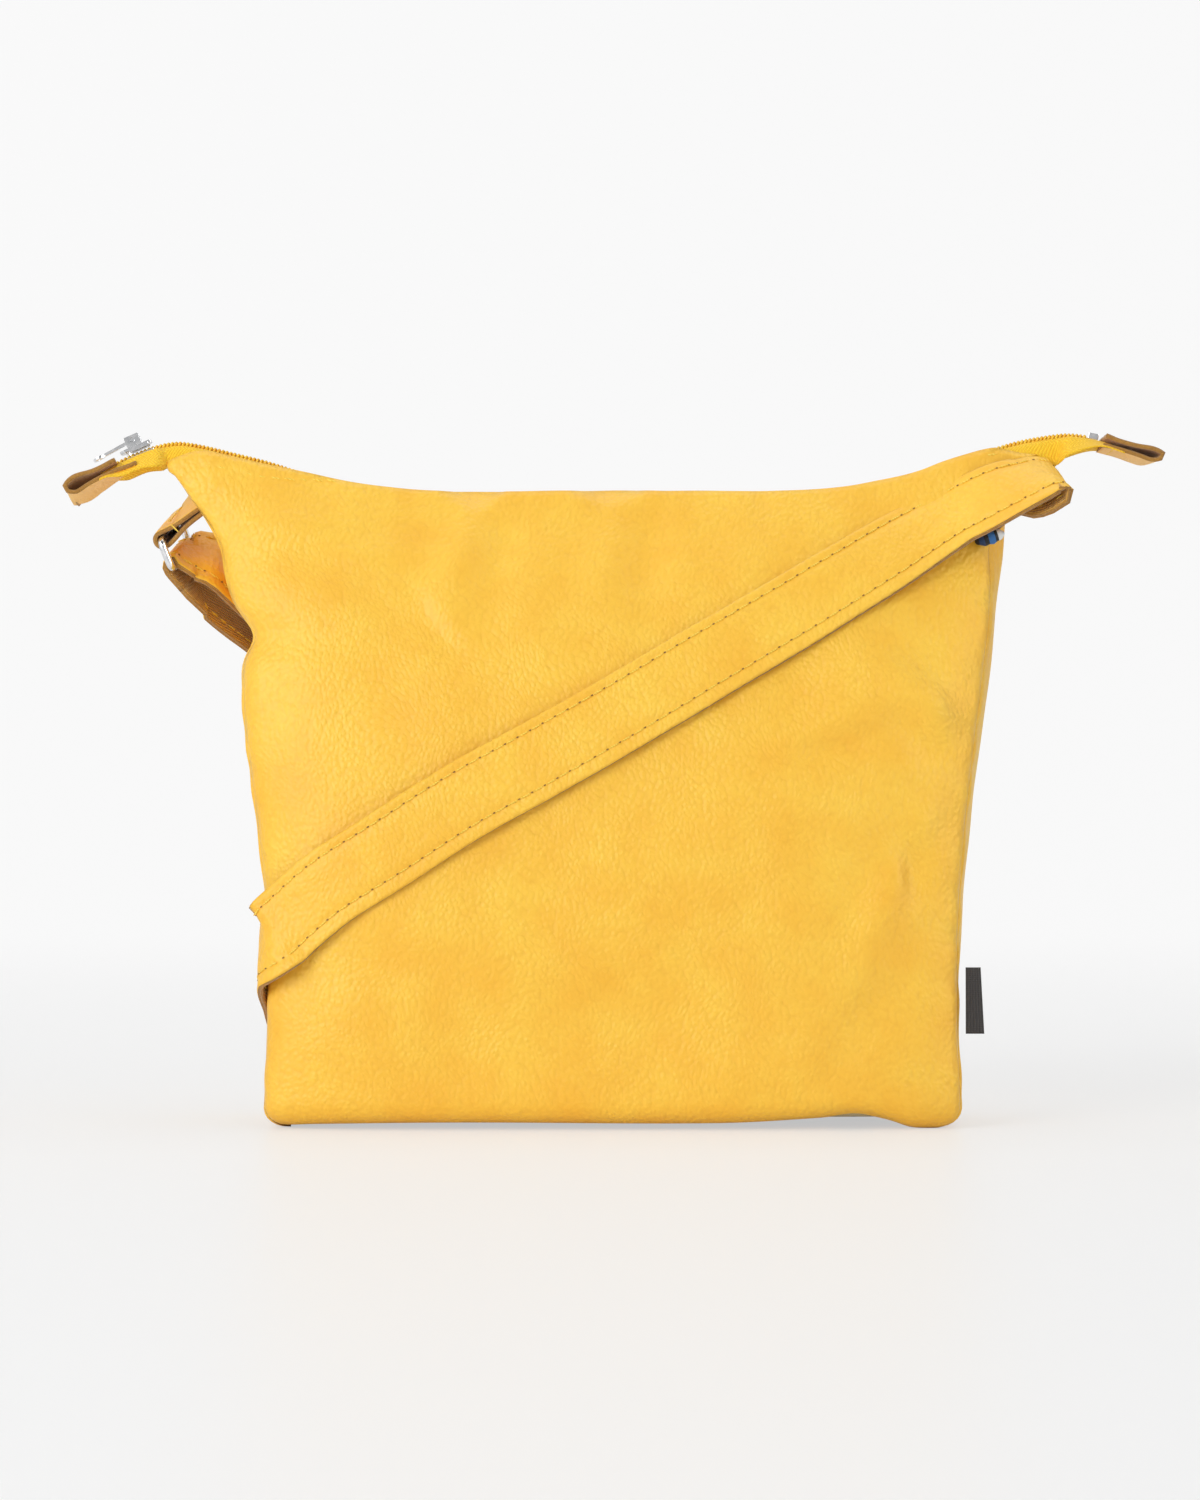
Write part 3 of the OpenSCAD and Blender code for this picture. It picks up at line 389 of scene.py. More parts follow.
# Radius and turn in degrees of the round at a panel's side edge, by panel and end
CORNERS = {(-1, True): (9, 52), (-1, False): (3, 60), (1, True): (6, 50), (1, False): (6, 50)}
ZIP_LINE = [(-200, 7), (-188, 13.2), (-176, 18.2), (-165, 19.7), (-143, 15), (-105, 5.9), (-60, 2.2),
            (0, 1.6), (60, 1.8), (105, 6.7), (140, 16.4), (172, 22.8), (186, 21.6), (200, 17)]


def curve(table, at):
    """Smooth value through (place, value) pairs, as the part's source has it."""
    i = max([n for n in range(len(table) - 1) if table[n][0] <= at] or [0])

    def slope(n):
        a, b = max(0, n - 1), min(len(table) - 1, n + 1)
        return (table[b][1] - table[a][1]) / (table[b][0] - table[a][0])

    run = table[i + 1][0] - table[i][0]
    t = min(1.0, max(0.0, (at - table[i][0]) / run))
    return (table[i][1] * (2 * t ** 3 - 3 * t * t + 1) + slope(i) * (run * (t ** 3 - 2 * t * t + t))
            + table[i + 1][1] * (3 * t * t - 2 * t ** 3) + slope(i + 1) * (run * (t ** 3 - t * t)))


def smooth(t):
    t = min(1.0, max(0.0, t))
    return t * t * (3 - 2 * t)


def half_w(k, side):
    return half_width(k, side < 0)


@functools.lru_cache(None)
def half_width(k, left):
    pinch = PINCH * math.exp(-((k - PINCH_AT) / PINCH_SPAN) ** 2) if left else 0
    return BASE_W / 2 + (MOUTH_W - BASE_W) / 2 * curve(FLARE, k) - pinch


@functools.lru_cache(None)
def half_d(k):
    return MOUTH_GAP + (BASE_D / 2 - MOUTH_GAP) * curve(FULLNESS, k)


def setback(k):
    return 0.2 + 0.25 * k - 0.37 * smooth((k - 0.9) / 0.1)


@functools.lru_cache(None)
def swell(k, side):
    return SWELL * curve(LEFT_SWELL if side < 0 else RIGHT_SWELL, k)


def ear(x):
    return EAR_RISE * curve(HEM_LINE, abs(x))


def face_y(k, s, off):
    return (half_d(k) - off) * (1 - setback(k) * abs(s) ** 7)


def face_pt(side, s, z0, off):
    k = z0 / MOUTH_H
    x = s * (half_w(k, s) - off)
    return Vector((x, side * face_y(k, s, off), z0 + ear(x) * max(0, k) ** 3))


def gusset_pt(side, t, z0, off):
    k = z0 / MOUTH_H
    w = half_w(k, side) - off
    return Vector((side * (w + swell(k, side) * (1 - t * t)), t * (face_y(k, 1, off) - SEAM_GAP),
                   z0 + ear(w) * max(0, k) ** 3))


# How far the bottom edge stands off the floor between the feet at its corners, at x
FOOT_LIFT = [(-133, 0.2), (-112, 1.6), (-60, 2.4), (40, 2.2), (78, 4.2), (92, 5.6), (104, 3.4),
             (114, 0.3), (133, 0)]
# Folds: place x, z, direction in degrees, half length, half width, depth (minus for a ridge)
FRONT_FOLDS = [
    (-42, 220, 84, 26, 8, 2.4), (-60, 213, 80, 28, 9, -1.4), (14, 217, 93, 22, 8, 2.0),
    (-4, 214, 88, 20, 8, -0.8),
    (-118, 214, 22, 22, 5, 1.5), (-104, 208, 12, 26, 4, 1.1), (-126, 222, 35, 16, 4, -1.0),
    (-86, 196, -24, 30, 6, 0.9), (-70, 192, -45, 20, 5, 1.0), (70, 190, 100, 34, 10, 0.9),
    (116, 161, -27, 22, 7, -2.2), (88, 144, 26, 17, 6, 2.0), (117, 146, -28, 15, 6, 2.2),
    (114, 100, -55, 12, 7, 3.0), (104, 88, 72, 24, 7, -1.7), (126, 112, 70, 20, 5, 1.2),
    (20, 40, 4, 70, 14, 0.9), (-80, 60, -8, 50, 12, 0.9), (96, 40, 60, 30, 9, 1.2),
    (-130, 150, 88, 30, 7, 1.2),
]
# How far the front hem stands above its seam line, at x
HEM_RISE = [(-200, 0.3), (-130, 0.2), (-100, 0.4), (-80, 0), (-53, 0.8), (0, 1.1), (60, 0.6), (90, -0.2),
            (103, 0.6), (118, 1.2), (127, 2.4), (136, 3.1), (146, 3), (153, 0.6), (160, -1.2), (180, -1)]
# Places where the front hem is pressed back: middle, half width and depth of the facet
NOTCHES = [(-53, 14, 9.5), (-1, 17, 7.5)]
NOTCH_IN = 4.6
BACK_FOLDS = [(-60, 198, 84, 34, 9, 2.0), (64, 204, 98, 30, 9, 1.8), (0, 180, 88, 40, 12, 1.2),
              (110, 120, 60, 26, 7, 1.4), (-116, 110, 118, 26, 7, 1.4), (30, 70, 10, 60, 14, 1.0)]


def fold_depth(folds, x, z):
    depth = 0.0
    for fx, fz, angle, length, width, deep in folds:
        c, n = math.cos(math.radians(angle)), math.sin(math.radians(angle))
        along, across = (x - fx) * c + (z - fz) * n, (z - fz) * c - (x - fx) * n
        across += 2.2 * math.sin(along / length * 1.7)
        if abs(along) < 3 * length and abs(across) < 4 * width:
            depth += deep * math.exp(-(along / length) ** 2) * (
                math.exp(-(across / width) ** 2) - 0.35 * math.exp(-((across - 1.6 * width) / width) ** 2))
    return depth


def notch(x, below):
    """How far the front hem is pressed back at x, this far below its top."""
    depth = 0.0
    for middle, half, deep in NOTCHES:
        share = 1 - abs(x - middle) / half
        if share > 0:
            depth += NOTCH_IN * smooth(2.5 * share) * smooth(1 - below / (deep * share))
    return depth


def hem_seam(x):
    """Distance of the hem's stitch line below its top: it runs out over the edge between the ears."""
    return HEM_SEAM * smooth((-x - 92) / 45) + 0.8 * HEM_SEAM * smooth((x - 138) / 14)


def hide_swell(x, z, seed):
    """Soft unevenness of a hide that nothing stretches flat, in millimetres."""
    p = Vector((x / 52, z / 46, seed))
    q = Vector((x / 17, z / 15, seed + 4))
    return 1.5 * noise.noise(p) + 0.38 * noise.noise(q)


def wall_row(d, off=0.0):
    """Height and inset of a wall at distance d up it: round the bottom edge, up, and over the hem."""
    if d < ROLL_LEN:
        a = d / ROLL
        return ROLL - (ROLL - off) * math.cos(a), ROLL - (ROLL - off) * math.sin(a)
    top = MOUTH_H - LIP
    if d - ROLL_LEN < top - ROLL:
        return d - ROLL_LEN + ROLL, off
    a = min(math.pi, (d - ROLL_LEN - (top - ROLL)) / LIP)
    return top + LIP * math.sin(a), off + LIP - LIP * math.cos(a)


ROLL_LEN = math.pi / 2 * ROLL
WALL_LEN = ROLL_LEN + MOUTH_H - LIP - ROLL + math.pi * LIP
HEM_SEAM = 5.2
SEAM_DIP = 1.0
GUSSET_SHORT = 9.5


@functools.lru_cache(None)
def corner(side, left, k):
    """The round at a panel's edge: the panel's half width there, the radius and the turn."""
    radius, turn = CORNERS[side, left]
    wide = half_width(k, left)
    if side < 0:
        wide += curve(LEFT_EAR if left else RIGHT_EAR, k)
    return wide, min(radius, 0.45 * face_y(k, 1, 0)), math.radians(turn)


def gather(z0, edge, reach):
    """A seam's stitches gather its edge a little and draw it in."""
    ruck = 0.3 * math.sin(z0 / 3.1 + 1.3 * math.sin(z0 / 11)) * smooth(1 - edge / reach) * smooth(edge / 2)
    return ruck, SEAM_DIP * smooth(1 - edge / 2.6)


def panel_point(side, s, d):
    z0, inset = wall_row(d)
    k = z0 / MOUTH_H
    w, radius, turn = corner(side, s < 0, k)
    flat = w - radius * math.sin(turn)
    run = abs(s) * (flat + radius * turn)
    edge = flat + radius * turn - run
    angle = max(0.0, run - flat) / radius
    x = math.copysign(min(run, flat) + radius * math.sin(angle), s)
    calm = smooth(edge / 22) * smooth((MOUTH_H + 2 - z0) / 20) * smooth((z0 - 2) / 22)
    folds, seed = (FRONT_FOLDS, 1.7) if side < 0 else (BACK_FOLDS, 8.3)
    bulge = calm * (hide_swell(x, z0, seed) - fold_depth(folds, x, z0))
    ruck, dip = gather(z0, edge, 12)
    bulge += ruck
    bulge -= dip
    # The hem is folded double down to its stitch line, which draws it in
    below = MOUTH_H - z0
    if d > ROLL * 2:
        line = hem_seam(x)
        bulge += 0.7 * smooth((line + 1.2 - below) / 2.4) * smooth(below / 1.2 + 0.2) * smooth(line / 2)
        bulge -= 0.7 * math.exp(-((below - line) / 1.0) ** 2) * smooth(line / 2)
        ripple = 0.8 * noise.noise(Vector((x / 9, z0 / 30, seed)))
        bulge += ripple * smooth(1 - below / 26) * smooth(edge / 20)
    if side < 0:
        bulge -= notch(x, below)
    skin = inset - bulge
    y = face_y(k, min(1, abs(x) / w), skin) - radius * (1 - math.cos(angle))
    p = Vector((x * (w - skin) / w, side * y, z0))
    p.z += ear(p.x) * max(0, k) ** 3
    lift = curve(FOOT_LIFT, p.x) if side < 0 else 0.4 * curve(FOOT_LIFT, -p.x)
    p.z += lift * math.exp(-max(0, p.z) / 14)
    p.z += 0.5 * noise.noise(Vector((x / 21, 0.4, seed + 2))) * smooth(1 - below / 12) * smooth(edge / 16)
    if side < 0:
        p.z += curve(HEM_RISE, x) * smooth(1 - below / 14) * smooth(edge / 10)
    return p


def gusset_point(side, t, d):
    z0, inset = wall_row(d)
    k = z0 / MOUTH_H
    wide, radius, turn = corner(-1 if t < 0 else 1, side < 0, k)
    w = half_w(k, side)
    follow = (wide - w) * smooth((abs(t) - 0.2) / 0.8)
    reach = face_y(k, 1, 0) - radius * (1 - math.cos(turn))
    edge = (1 - abs(t)) * max(4, reach)
    calm = smooth(edge / 12) * smooth((MOUTH_H + 2 - z0) / 16) * smooth((z0 - 2) / 20)
    bulge = calm * 1.1 * noise.noise(Vector((t * 1.1, z0 / 26, 5.5 + side)))
    ruck, dip = gather(z0, edge, 10)
    bulge += ruck
    bulge -= dip
    skin = inset - bulge
    return Vector((side * (w + follow - skin + swell(k, side) * (1 - t * t)),
                   t * (face_y(k, 1, skin) - radius * (1 - math.cos(turn))), z0 + ear(w) * max(0, k) ** 3))


# ---------------------------------------------------------------- mesh tools
def link_piece(name, mesh, materials, body="bag", replaced=(), slot=None):
    for material in materials:
        mesh.materials.append(material)
    for face in mesh.polygons:
        face.use_smooth = True
    piece = bpy.data.objects.new(name, mesh)
    scene.collection.objects.link(piece)
    if body:
        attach(piece, body)
    if replaced:
        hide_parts(*replaced)
    return piece


def grid_mesh(name, across, along, span, point, flip=False):
    """A grid laid through point(u, v), u and v from 0 to 1. Its UV map is in metres over span."""
    bm = bmesh.new()
    uv = bm.loops.layers.uv.new("UVMap")
    bmesh.ops.create_grid(bm, x_segments=across, y_segments=along, size=0.5)
    for face in bm.faces:
        for loop in face.loops:
            x, y = loop.vert.co.x + 0.5, loop.vert.co.y + 0.5
            loop[uv].uv = (x * span[0] * MM, y * span[1] * MM)
    for vert in bm.verts:
        vert.co = point(vert.co.x + 0.5, vert.co.y + 0.5) * MM
    if flip:
        bmesh.ops.reverse_faces(bm, faces=bm.faces)
    mesh = bpy.data.meshes.new(name)
    bm.to_mesh(mesh)
    bm.free()
    return mesh


def thicken(piece, thickness, back=1, rim=2, even=True):
    solid = piece.modifiers.new("thickness", "SOLIDIFY")
    solid.thickness = thickness * MM
    solid.offset = -1
    solid.use_even_offset = even
    solid.material_offset = back
    solid.material_offset_rim = rim
    return piece


def stitches(name, places, body="bag", long=3.4, thick=0.55, material=THREAD):
    """Rows of thread stitches, each at (middle, along, out) with its ends sunk into the leather."""
    mesh = bpy.data.meshes.new(name)
    bm = bmesh.new()
    bmesh.ops.create_uvsphere(bm, u_segments=7, v_segments=5, radius=0.5,
                              matrix=Matrix.Rotation(math.pi / 2, 4, "Y"))
    bmesh.ops.scale(bm, vec=(long, thick, thick), verts=bm.verts)
    bm.to_mesh(mesh)
    count = len(bm.verts)
    bm.clear()
    for middle, along, out in places:
        along = along.normalized()
        out = (out - along * out.dot(along)).normalized()
        turn = Matrix((along, out.cross(along), out)).transposed()
        bm.from_mesh(mesh)
        bm.verts.ensure_lookup_table()
        for vert in bm.verts[-count:]:
            vert.co = (middle + turn @ vert.co) * MM
    bm.to_mesh(mesh)
    bm.free()
    return link_piece(name, mesh, [material], body)


def wire(name, points, radius, material, replaced, slot):
    """A round wire along points, made from a bevelled curve and kept as a mesh."""
    line = bpy.data.curves.new(name, "CURVE")
    line.dimensions = "3D"
    line.bevel_depth = radius * MM
    line.bevel_resolution = 1
    line.use_fill_caps = True
    spline = line.splines.new("POLY")
    spline.points.add(len(points) - 1)
    for knot, p in zip(spline.points, points):
        knot.co = (*(p * MM), 1)
    holder = bpy.data.objects.new(name, line)
    mesh = bpy.data.meshes.new_from_object(holder)
    bpy.data.objects.remove(holder)
    bpy.data.curves.remove(line)
    bm = bmesh.new()
    bm.from_mesh(mesh)
    bmesh.ops.recalc_face_normals(bm, faces=bm.faces)
    bm.to_mesh(mesh)
    bm.free()
    return link_piece(name, mesh, [material], replaced=replaced, slot=slot)


def hide(mesh, node):
    """A leather piece of the bag's body, with its flesh side inside and raw cut edges."""
    piece = link_piece(mesh.name, mesh, [LEATHER, FLESH_SIDE, RAW_EDGE], replaced=[node], slot="leather")
    return thicken(piece, LEATHER_T)


def cloth(mesh, node):
    piece = link_piece(mesh.name, mesh, [LINING], replaced=[node], slot="lining")
    return thicken(piece, LINING_T, 0, 0)


# ---------------------------------------------------------------- body of the bag
def build_body():
    for side, name in ((-1, "front"), (1, "back")):
        mesh = grid_mesh(f"{name}_panel_leather", 170, 128, (MOUTH_W, WALL_LEN),
                         lambda u, v: panel_point(side, 2 * u - 1, v * WALL_LEN), side > 0)
        hide(mesh, f"{name}_panel")
    gusset_len = WALL_LEN - GUSSET_SHORT
    for side, name in ((-1, "left"), (1, "right")):
        mesh = grid_mesh(f"{name}_gusset_leather", 30, 110, (BASE_D, gusset_len),
                         lambda u, v: gusset_point(side, 2 * u - 1, v * gusset_len), side < 0)
        hide(mesh, f"{name}_gusset")

    def base_point(u, v):
        s = 2 * u - 1
        near, far = panel_point(-1, s, 0), panel_point(1, s, 0)
        return near.lerp(far, v) + Vector((0, 0, 0.25 * math.sin(math.pi * v)))

    hide(grid_mesh("base_leather", 90, 24, (BASE_W, BASE_D), base_point, True), "base_panel")


TAPE_IN = LEATHER_T + PLY_GAP
TAPE_T = 0.6
FACING_H = 36
FACING_IN = TAPE_IN + TAPE_T + PLY_GAP
FACING_TOP = MOUTH_H - 13
LINING_IN = FACING_IN + LEATHER_T + PLY_GAP
LINING_TOP = MOUTH_H - FACING_H + 3
POCKET_W, POCKET_H, POCKET_LOW = 150, 110, 40
# The shares of a panel's half width that the facing and the lining reach
FACING_SHARE, LINING_SHARE = 0.97, 0.996


def build_inside():
    low = MOUTH_H - FACING_H
    lining_len = ROLL_LEN + LINING_TOP - ROLL
    lining_off = LINING_IN + LINING_T
    for side, name in ((-1, "front"), (1, "back")):
        mesh = grid_mesh(f"{name}_facing_leather", 90, 12, (MOUTH_W, FACING_TOP - low),
                         lambda u, v: face_pt(side, (2 * u - 1) * FACING_SHARE, low + v * (FACING_TOP - low),
                                              FACING_IN + LEATHER_T), side < 0)
        hide(mesh, f"{name}_facing")

        def lining_point(u, v):
            z0, inset = wall_row(v * lining_len, lining_off)
            ripple = 0.3 * noise.noise(Vector((u * 9, v * 7, 2 + side)))
            return face_pt(side, (2 * u - 1) * LINING_SHARE, z0, inset - ripple)

        mesh = grid_mesh(f"{name}_lining_cloth", 80, 60, (BASE_W, lining_len), lining_point, side < 0)
        cloth(mesh, f"lining_{name}")
    for side, name in ((-1, "left"), (1, "right")):
        def gusset_lining(u, v):
            z0, inset = wall_row(v * lining_len, lining_off)
            return gusset_pt(side, 2 * u - 1, z0, inset - 0.25 * noise.noise(Vector((u * 3, v * 7, side))))

        mesh = grid_mesh(f"{name}_lining_cloth", 14, 50, (BASE_D, lining_len), gusset_lining, side > 0)
        cloth(mesh, f"lining_{name}")

    def floor_lining(u, v):
        near, far = (face_pt(q, 2 * u - 1, 0, ROLL + 2 * SEAM_GAP) for q in (-1, 1))
        return near.lerp(far, v) + Vector((0, 0, lining_off))

    cloth(grid_mesh("floor_lining_cloth", 60, 20, (BASE_W, BASE_D), floor_lining), "lining_base")
    half = POCKET_W / BASE_W
    pocket_in = lining_off + 2 * PLY_GAP + LINING_T
    mesh = grid_mesh("pocket_cloth", 50, 40, (POCKET_W, POCKET_H),
                     lambda u, v: face_pt(1, (2 * u - 1) * half, POCKET_LOW + v * POCKET_H,
                                          pocket_in + 0.5 * math.sin(math.pi * u) * v ** 2))
    cloth(mesh, "slip_pocket")


# ---------------------------------------------------------------- zip
SLIDER_X, SLIDER_L, SLIDER_W = -182.5, 12.7, 9.4
STEM_SHARE = 0.28
COIL_D, COIL_PLAY, NECK_D = 1.6, 0.4, 1.8
CORNER_X = MOUTH_W / 2
TAPE_W, TAPE_REACH = 14, 196
TAPE_FLAT = SLIDER_W / 2 + 0.8
STOP_LEFT, STOP_RIGHT = -190.5, 183
COIL_PITCH = 1.5
# The share of the tape's width between its coil and the seam, and the tape's end below the coil
SEAM_SHARE, TAPE_DROP = 0.4, 0.8


def coil_z(x):
    return MOUTH_H + curve(ZIP_LINE, x)


def coil_line(x):
    """Height of the sewn coil: at the ears it stands clear, and between them the hems hide it."""
    return coil_z(x) - 1.3 - 2.2 * (1 - smooth((-x - 98) / 36) - smooth((x - 124) / 36))


def zip_tilt(x):
    return math.atan2(coil_z(x + 2) - coil_z(x - 2), 4)


NECK_X = SLIDER_X - SLIDER_L * STEM_SHARE * math.cos(zip_tilt(SLIDER_X))


def coil_y(x):
    shut, split = COIL_D / 2 + 0.05, NECK_D / 2 + COIL_PLAY + COIL_D / 2
    return shut + (split - shut) * smooth((NECK_X + 4.5 - x) / 4)


def tape_point(side, x, v):
    """Point across the tape, from v = 0 at the coil to v = 1 at its free edge."""
    edge = coil_y(x) + COIL_D / 2 + 0.1 - 0.9
    near_corner = smooth((abs(x) - CORNER_X + 38) / 22)
    hang = (TAPE_W - MOUTH_GAP) * (1 - 0.85 * near_corner)
    u = min(1, max(0, (v - SEAM_SHARE) / (1 - SEAM_SHARE)))
    z0 = MOUTH_H - 1 - hang * u
    k = z0 / MOUTH_H
    s = min(1, abs(x) / (half_w(k, x) - TAPE_IN))
    y = face_y(k, s, TAPE_IN) - 0.5 * near_corner - (notch(x, MOUTH_H - z0) if side < 0 else 0)
    z = z0 + ear(min(abs(x), CORNER_X)) * k ** 3
    if v < SEAM_SHARE:
        low = coil_line(x) - TAPE_DROP
        y, z = edge + (y - edge) * v / SEAM_SHARE, low + (z - low) * (v / SEAM_SHARE) ** 2
    drop = 8 - 6 * smooth((x - CORNER_X) / 20) - 2 * smooth((-x - CORNER_X) / 12) - 3 * smooth((-x - 186) / 9)
    free_y = edge + (TAPE_FLAT - edge) * min(1, v / SEAM_SHARE) + (TAPE_W - TAPE_FLAT - 1.5) * u
    free_z = coil_line(x) - TAPE_DROP - drop * u ** 0.9
    b = smooth((abs(x) - CORNER_X - 0.5) / 4)
    return Vector((x, side * (y * (1 - b) + free_y * b), z * (1 - b) + free_z * b))


def build_zip():
    squashed = []
    for side, name in ((-1, "front"), (1, "back")):
        mesh = grid_mesh(f"{name}_zip_tape_cloth", 14, 300, (TAPE_W, 2 * TAPE_REACH),
                         lambda u, v: tape_point(side, (2 * v - 1) * TAPE_REACH, u), side < 0)
        squashed.append(thicken(link_piece(mesh.name, mesh, [ZIP_TAPE], replaced=[f"zip_tape_{name}"],
                                           slot="zip_tape"), TAPE_T * 0.8, 0, 0))
        turns, per_turn = int((STOP_RIGHT - STOP_LEFT) / COIL_PITCH), 8
        points = []
        for i in range(turns * per_turn + 1):
            q = math.tau * i / per_turn
            x = STOP_LEFT + COIL_PITCH * i / per_turn
            bite = 0.42 * math.cos(q)
            points.append(Vector((x, side * (coil_y(x) - 0.1 + 0.62 * math.cos(q)) - side * bite * 0.2,
                                  coil_line(x) + 0.1 + 0.72 * math.sin(q))))
        squashed.append(wire(f"{name}_zip_coil_wound", points, 0.48, ZIP_COIL, [f"zip_coil_{name}"],
                             "zip_coil"))
    for piece in squashed:
        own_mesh(piece)


# ---------------------------------------------------------------- flat bands: strap, tabs
def band_frame(route, ways, at):
    """Middle, way across and way out of a band at a place on its route."""
    t = (curve(route, at + 0.3) - curve(route, at - 0.3)).normalized()
    w = curve(ways, at)
    w = (w - t * w.dot(t)).normalized()
    return curve(route, at), w, w.cross(t)


def paced(route, start, stop, step):
    """Places along a route at an even step in millimetres, and the length at each."""
    fine = [start + (stop - start) * i / 1500 for i in range(1501)]
    points = [curve(route, at) for at in fine]
    lengths = [0.0]
    for a, b in zip(points, points[1:]):
        lengths.append(lengths[-1] + (b - a).length)
    count = max(4, round(lengths[-1] / step))
    places, i = [], 0
    for n in range(count + 1):
        want = lengths[-1] * n / count
        while i < 1499 and lengths[i + 1] < want:
            i += 1
        share = (want - lengths[i]) / max(1e-9, lengths[i + 1] - lengths[i])
        places.append(fine[i] + (fine[i + 1] - fine[i]) * min(1, share))
    return places, lengths[-1]


class Band:
    """A flat band along a route, from which layers, grooves and rows of stitches are made."""

    def __init__(self, points, ways, width, step=2.5, sway=0.0):
        route, ways = placed(points), placed(ways, points)
        self.places, self.length = paced(route, 0, route[-1][0], step)
        self.frames = [band_frame(route, ways, at) for at in self.places]
        self.width, self.sway, self.pinch, self.droop = width, sway, None, 0

    def at(self, v):
        x = v * (len(self.frames) - 1)
        i = min(len(self.frames) - 2, int(x))
        a, b = self.frames[i], self.frames[i + 1]
        f = x - i
        return a[0].lerp(b[0], f), a[1].lerp(b[1], f).normalized(), a[2].lerp(b[2], f).normalized()

    def point(self, u, v, height):
        c, w, n = self.at(v)
        if self.pinch:
            # The far side of the fold is pressed shut, onto the line from its tip to its root
            tip, root = self.pinch
            share = (c.x - tip.x) / (root.x - tip.x)
            line = tip.z + (root.z - tip.z) * share
            z = c.z + (line - c.z) * 0.72 * smooth(u * 1.3)
            c = Vector((c.x, c.y, z - self.droop * (1 - share) * smooth(u)))
        wide = self.width * (1 + self.sway * noise.noise(Vector((v * self.length / 18, u * 3, 6.6))))
        return c + w * ((u - 0.5) * wide) + n * height

    def layer(self, name, height, thickness, materials, profile=None, face_up=True, across=16, **kw):
        shape = profile or (lambda u, d: 0.0)
        mesh = grid_mesh(name, across, len(self.frames) - 1, (self.width, self.length),
                         lambda u, v: self.point(u, v, height + shape(u, v * self.length)), not face_up)
        piece = link_piece(name, mesh, materials, **kw)
        return thicken(piece, thickness, min(1, len(materials) - 1), len(materials) - 1, False)

    def row(self, u, height, pitch, start=4.0, stop=None):
        """Places for a row of stitches along the band at a share u of its width."""
        stop = stop or self.length - 4
        places = []
        for i in range(int((stop - start) / pitch)):
            v = (start + i * pitch) / self.length
            a, b = self.point(u, v, height), self.point(u, min(1, v + 0.5 / self.length), height)
            places.append((a, b - a, self.at(v)[2] * (1 if height > 0 else -1)))
        return places


def placed(values, points=None):
    """Pairs values with the distances along the points, so that a curve through them keeps its pace."""
    marks = [0.0]
    for a, b in zip(points or values, (points or values)[1:]):
        marks.append(marks[-1] + (b - a).length)
    return list(zip(marks, values))


def V(*numbers):
    return Vector(numbers)


def square_to(v, along):
    return (v - along * v.dot(along)).normalized()


def arc(mid, way0, way90, radius, start, stop, n):
    return [mid + radius * (way0 * math.cos(math.radians(q)) + way90 * math.sin(math.radians(q)))
            for q in [start + (stop - start) * i / n for i in range(n + 1)]]


STRAP_W, STRAP_FACE_T, WEBBING_T = 30, 1.4, 1.2
STRAP_T = STRAP_FACE_T + WEBBING_T
TAB_T = 1.6
RING_WIRE, RING_IN = 3, 8.5
RING_TOP = V(-171, 11, 228)
RING_ACROSS = V(0.12, 0.95, 0.29).normalized()
RING_DOWN = square_to(V(0.35, 0.3, -0.87), RING_ACROSS)
RING_LOW = RING_TOP + RING_DOWN * (RING_IN + RING_WIRE)
LIE = STRAP_T / 2 + 0.8
HAIRPIN_X, HAIRPIN_R, HAIRPIN_LEAN = 45, 11, math.radians(21.5)
BACK_FOOT_Y = BASE_D / 2 + LIE
FOOT_Z = STRAP_W / 2 + 2.5
HAIRPIN_AXIS = V(math.sin(HAIRPIN_LEAN), 0, math.cos(HAIRPIN_LEAN))
HAIRPIN_MID = V(HAIRPIN_X, BACK_FOOT_Y + HAIRPIN_R, FOOT_Z)


def turned(v, q):
    return Matrix.Rotation(math.radians(q), 3, HAIRPIN_AXIS) @ v


HAIRPIN_TURN = (0, 60, 120, 180)
LEG_LOW = HAIRPIN_MID + turned(V(0, -HAIRPIN_R, 0), 180) + V(-9, -1, 8.3)
LEG_HIGH = V(-126, 46, 176)
LEG_DIR = (LEG_HIGH - LEG_LOW).normalized()
LEG_ACROSS = square_to(V(0.64, -0.17, 0.74), LEG_DIR)
LEG_IN = square_to(LEG_HIGH - RING_LOW, RING_ACROSS)
LEG_SIDE = LEG_IN.cross(RING_ACROSS)
RING_TURN = RING_WIRE / 2 + 0.9 + STRAP_T / 2
RING_LEAD = 20
LEAD_WAY = V(0.22, 0.94, 0.24)
FRONT_RUN = [(129, 232), (100, 214.6), (71, 197), (37, 177), (3, 156.7), (-30, 138), (-58, 122.4),
             (-85, 105), (-107, 91), (-121, 79)]


def on_front(x, z):
    k = (z - ear(x) * (z / MOUTH_H) ** 3) / MOUTH_H
    return V(x, -face_y(k, min(1, abs(x) / half_w(k, x)), 0) - LIE, z)


def way_on_front(x, z):
    dx, dz = STRAP_W * 0.1, STRAP_W * 0.17
    return (on_front(x - dx, z + dz) - on_front(x + dx, z - dz)).normalized()


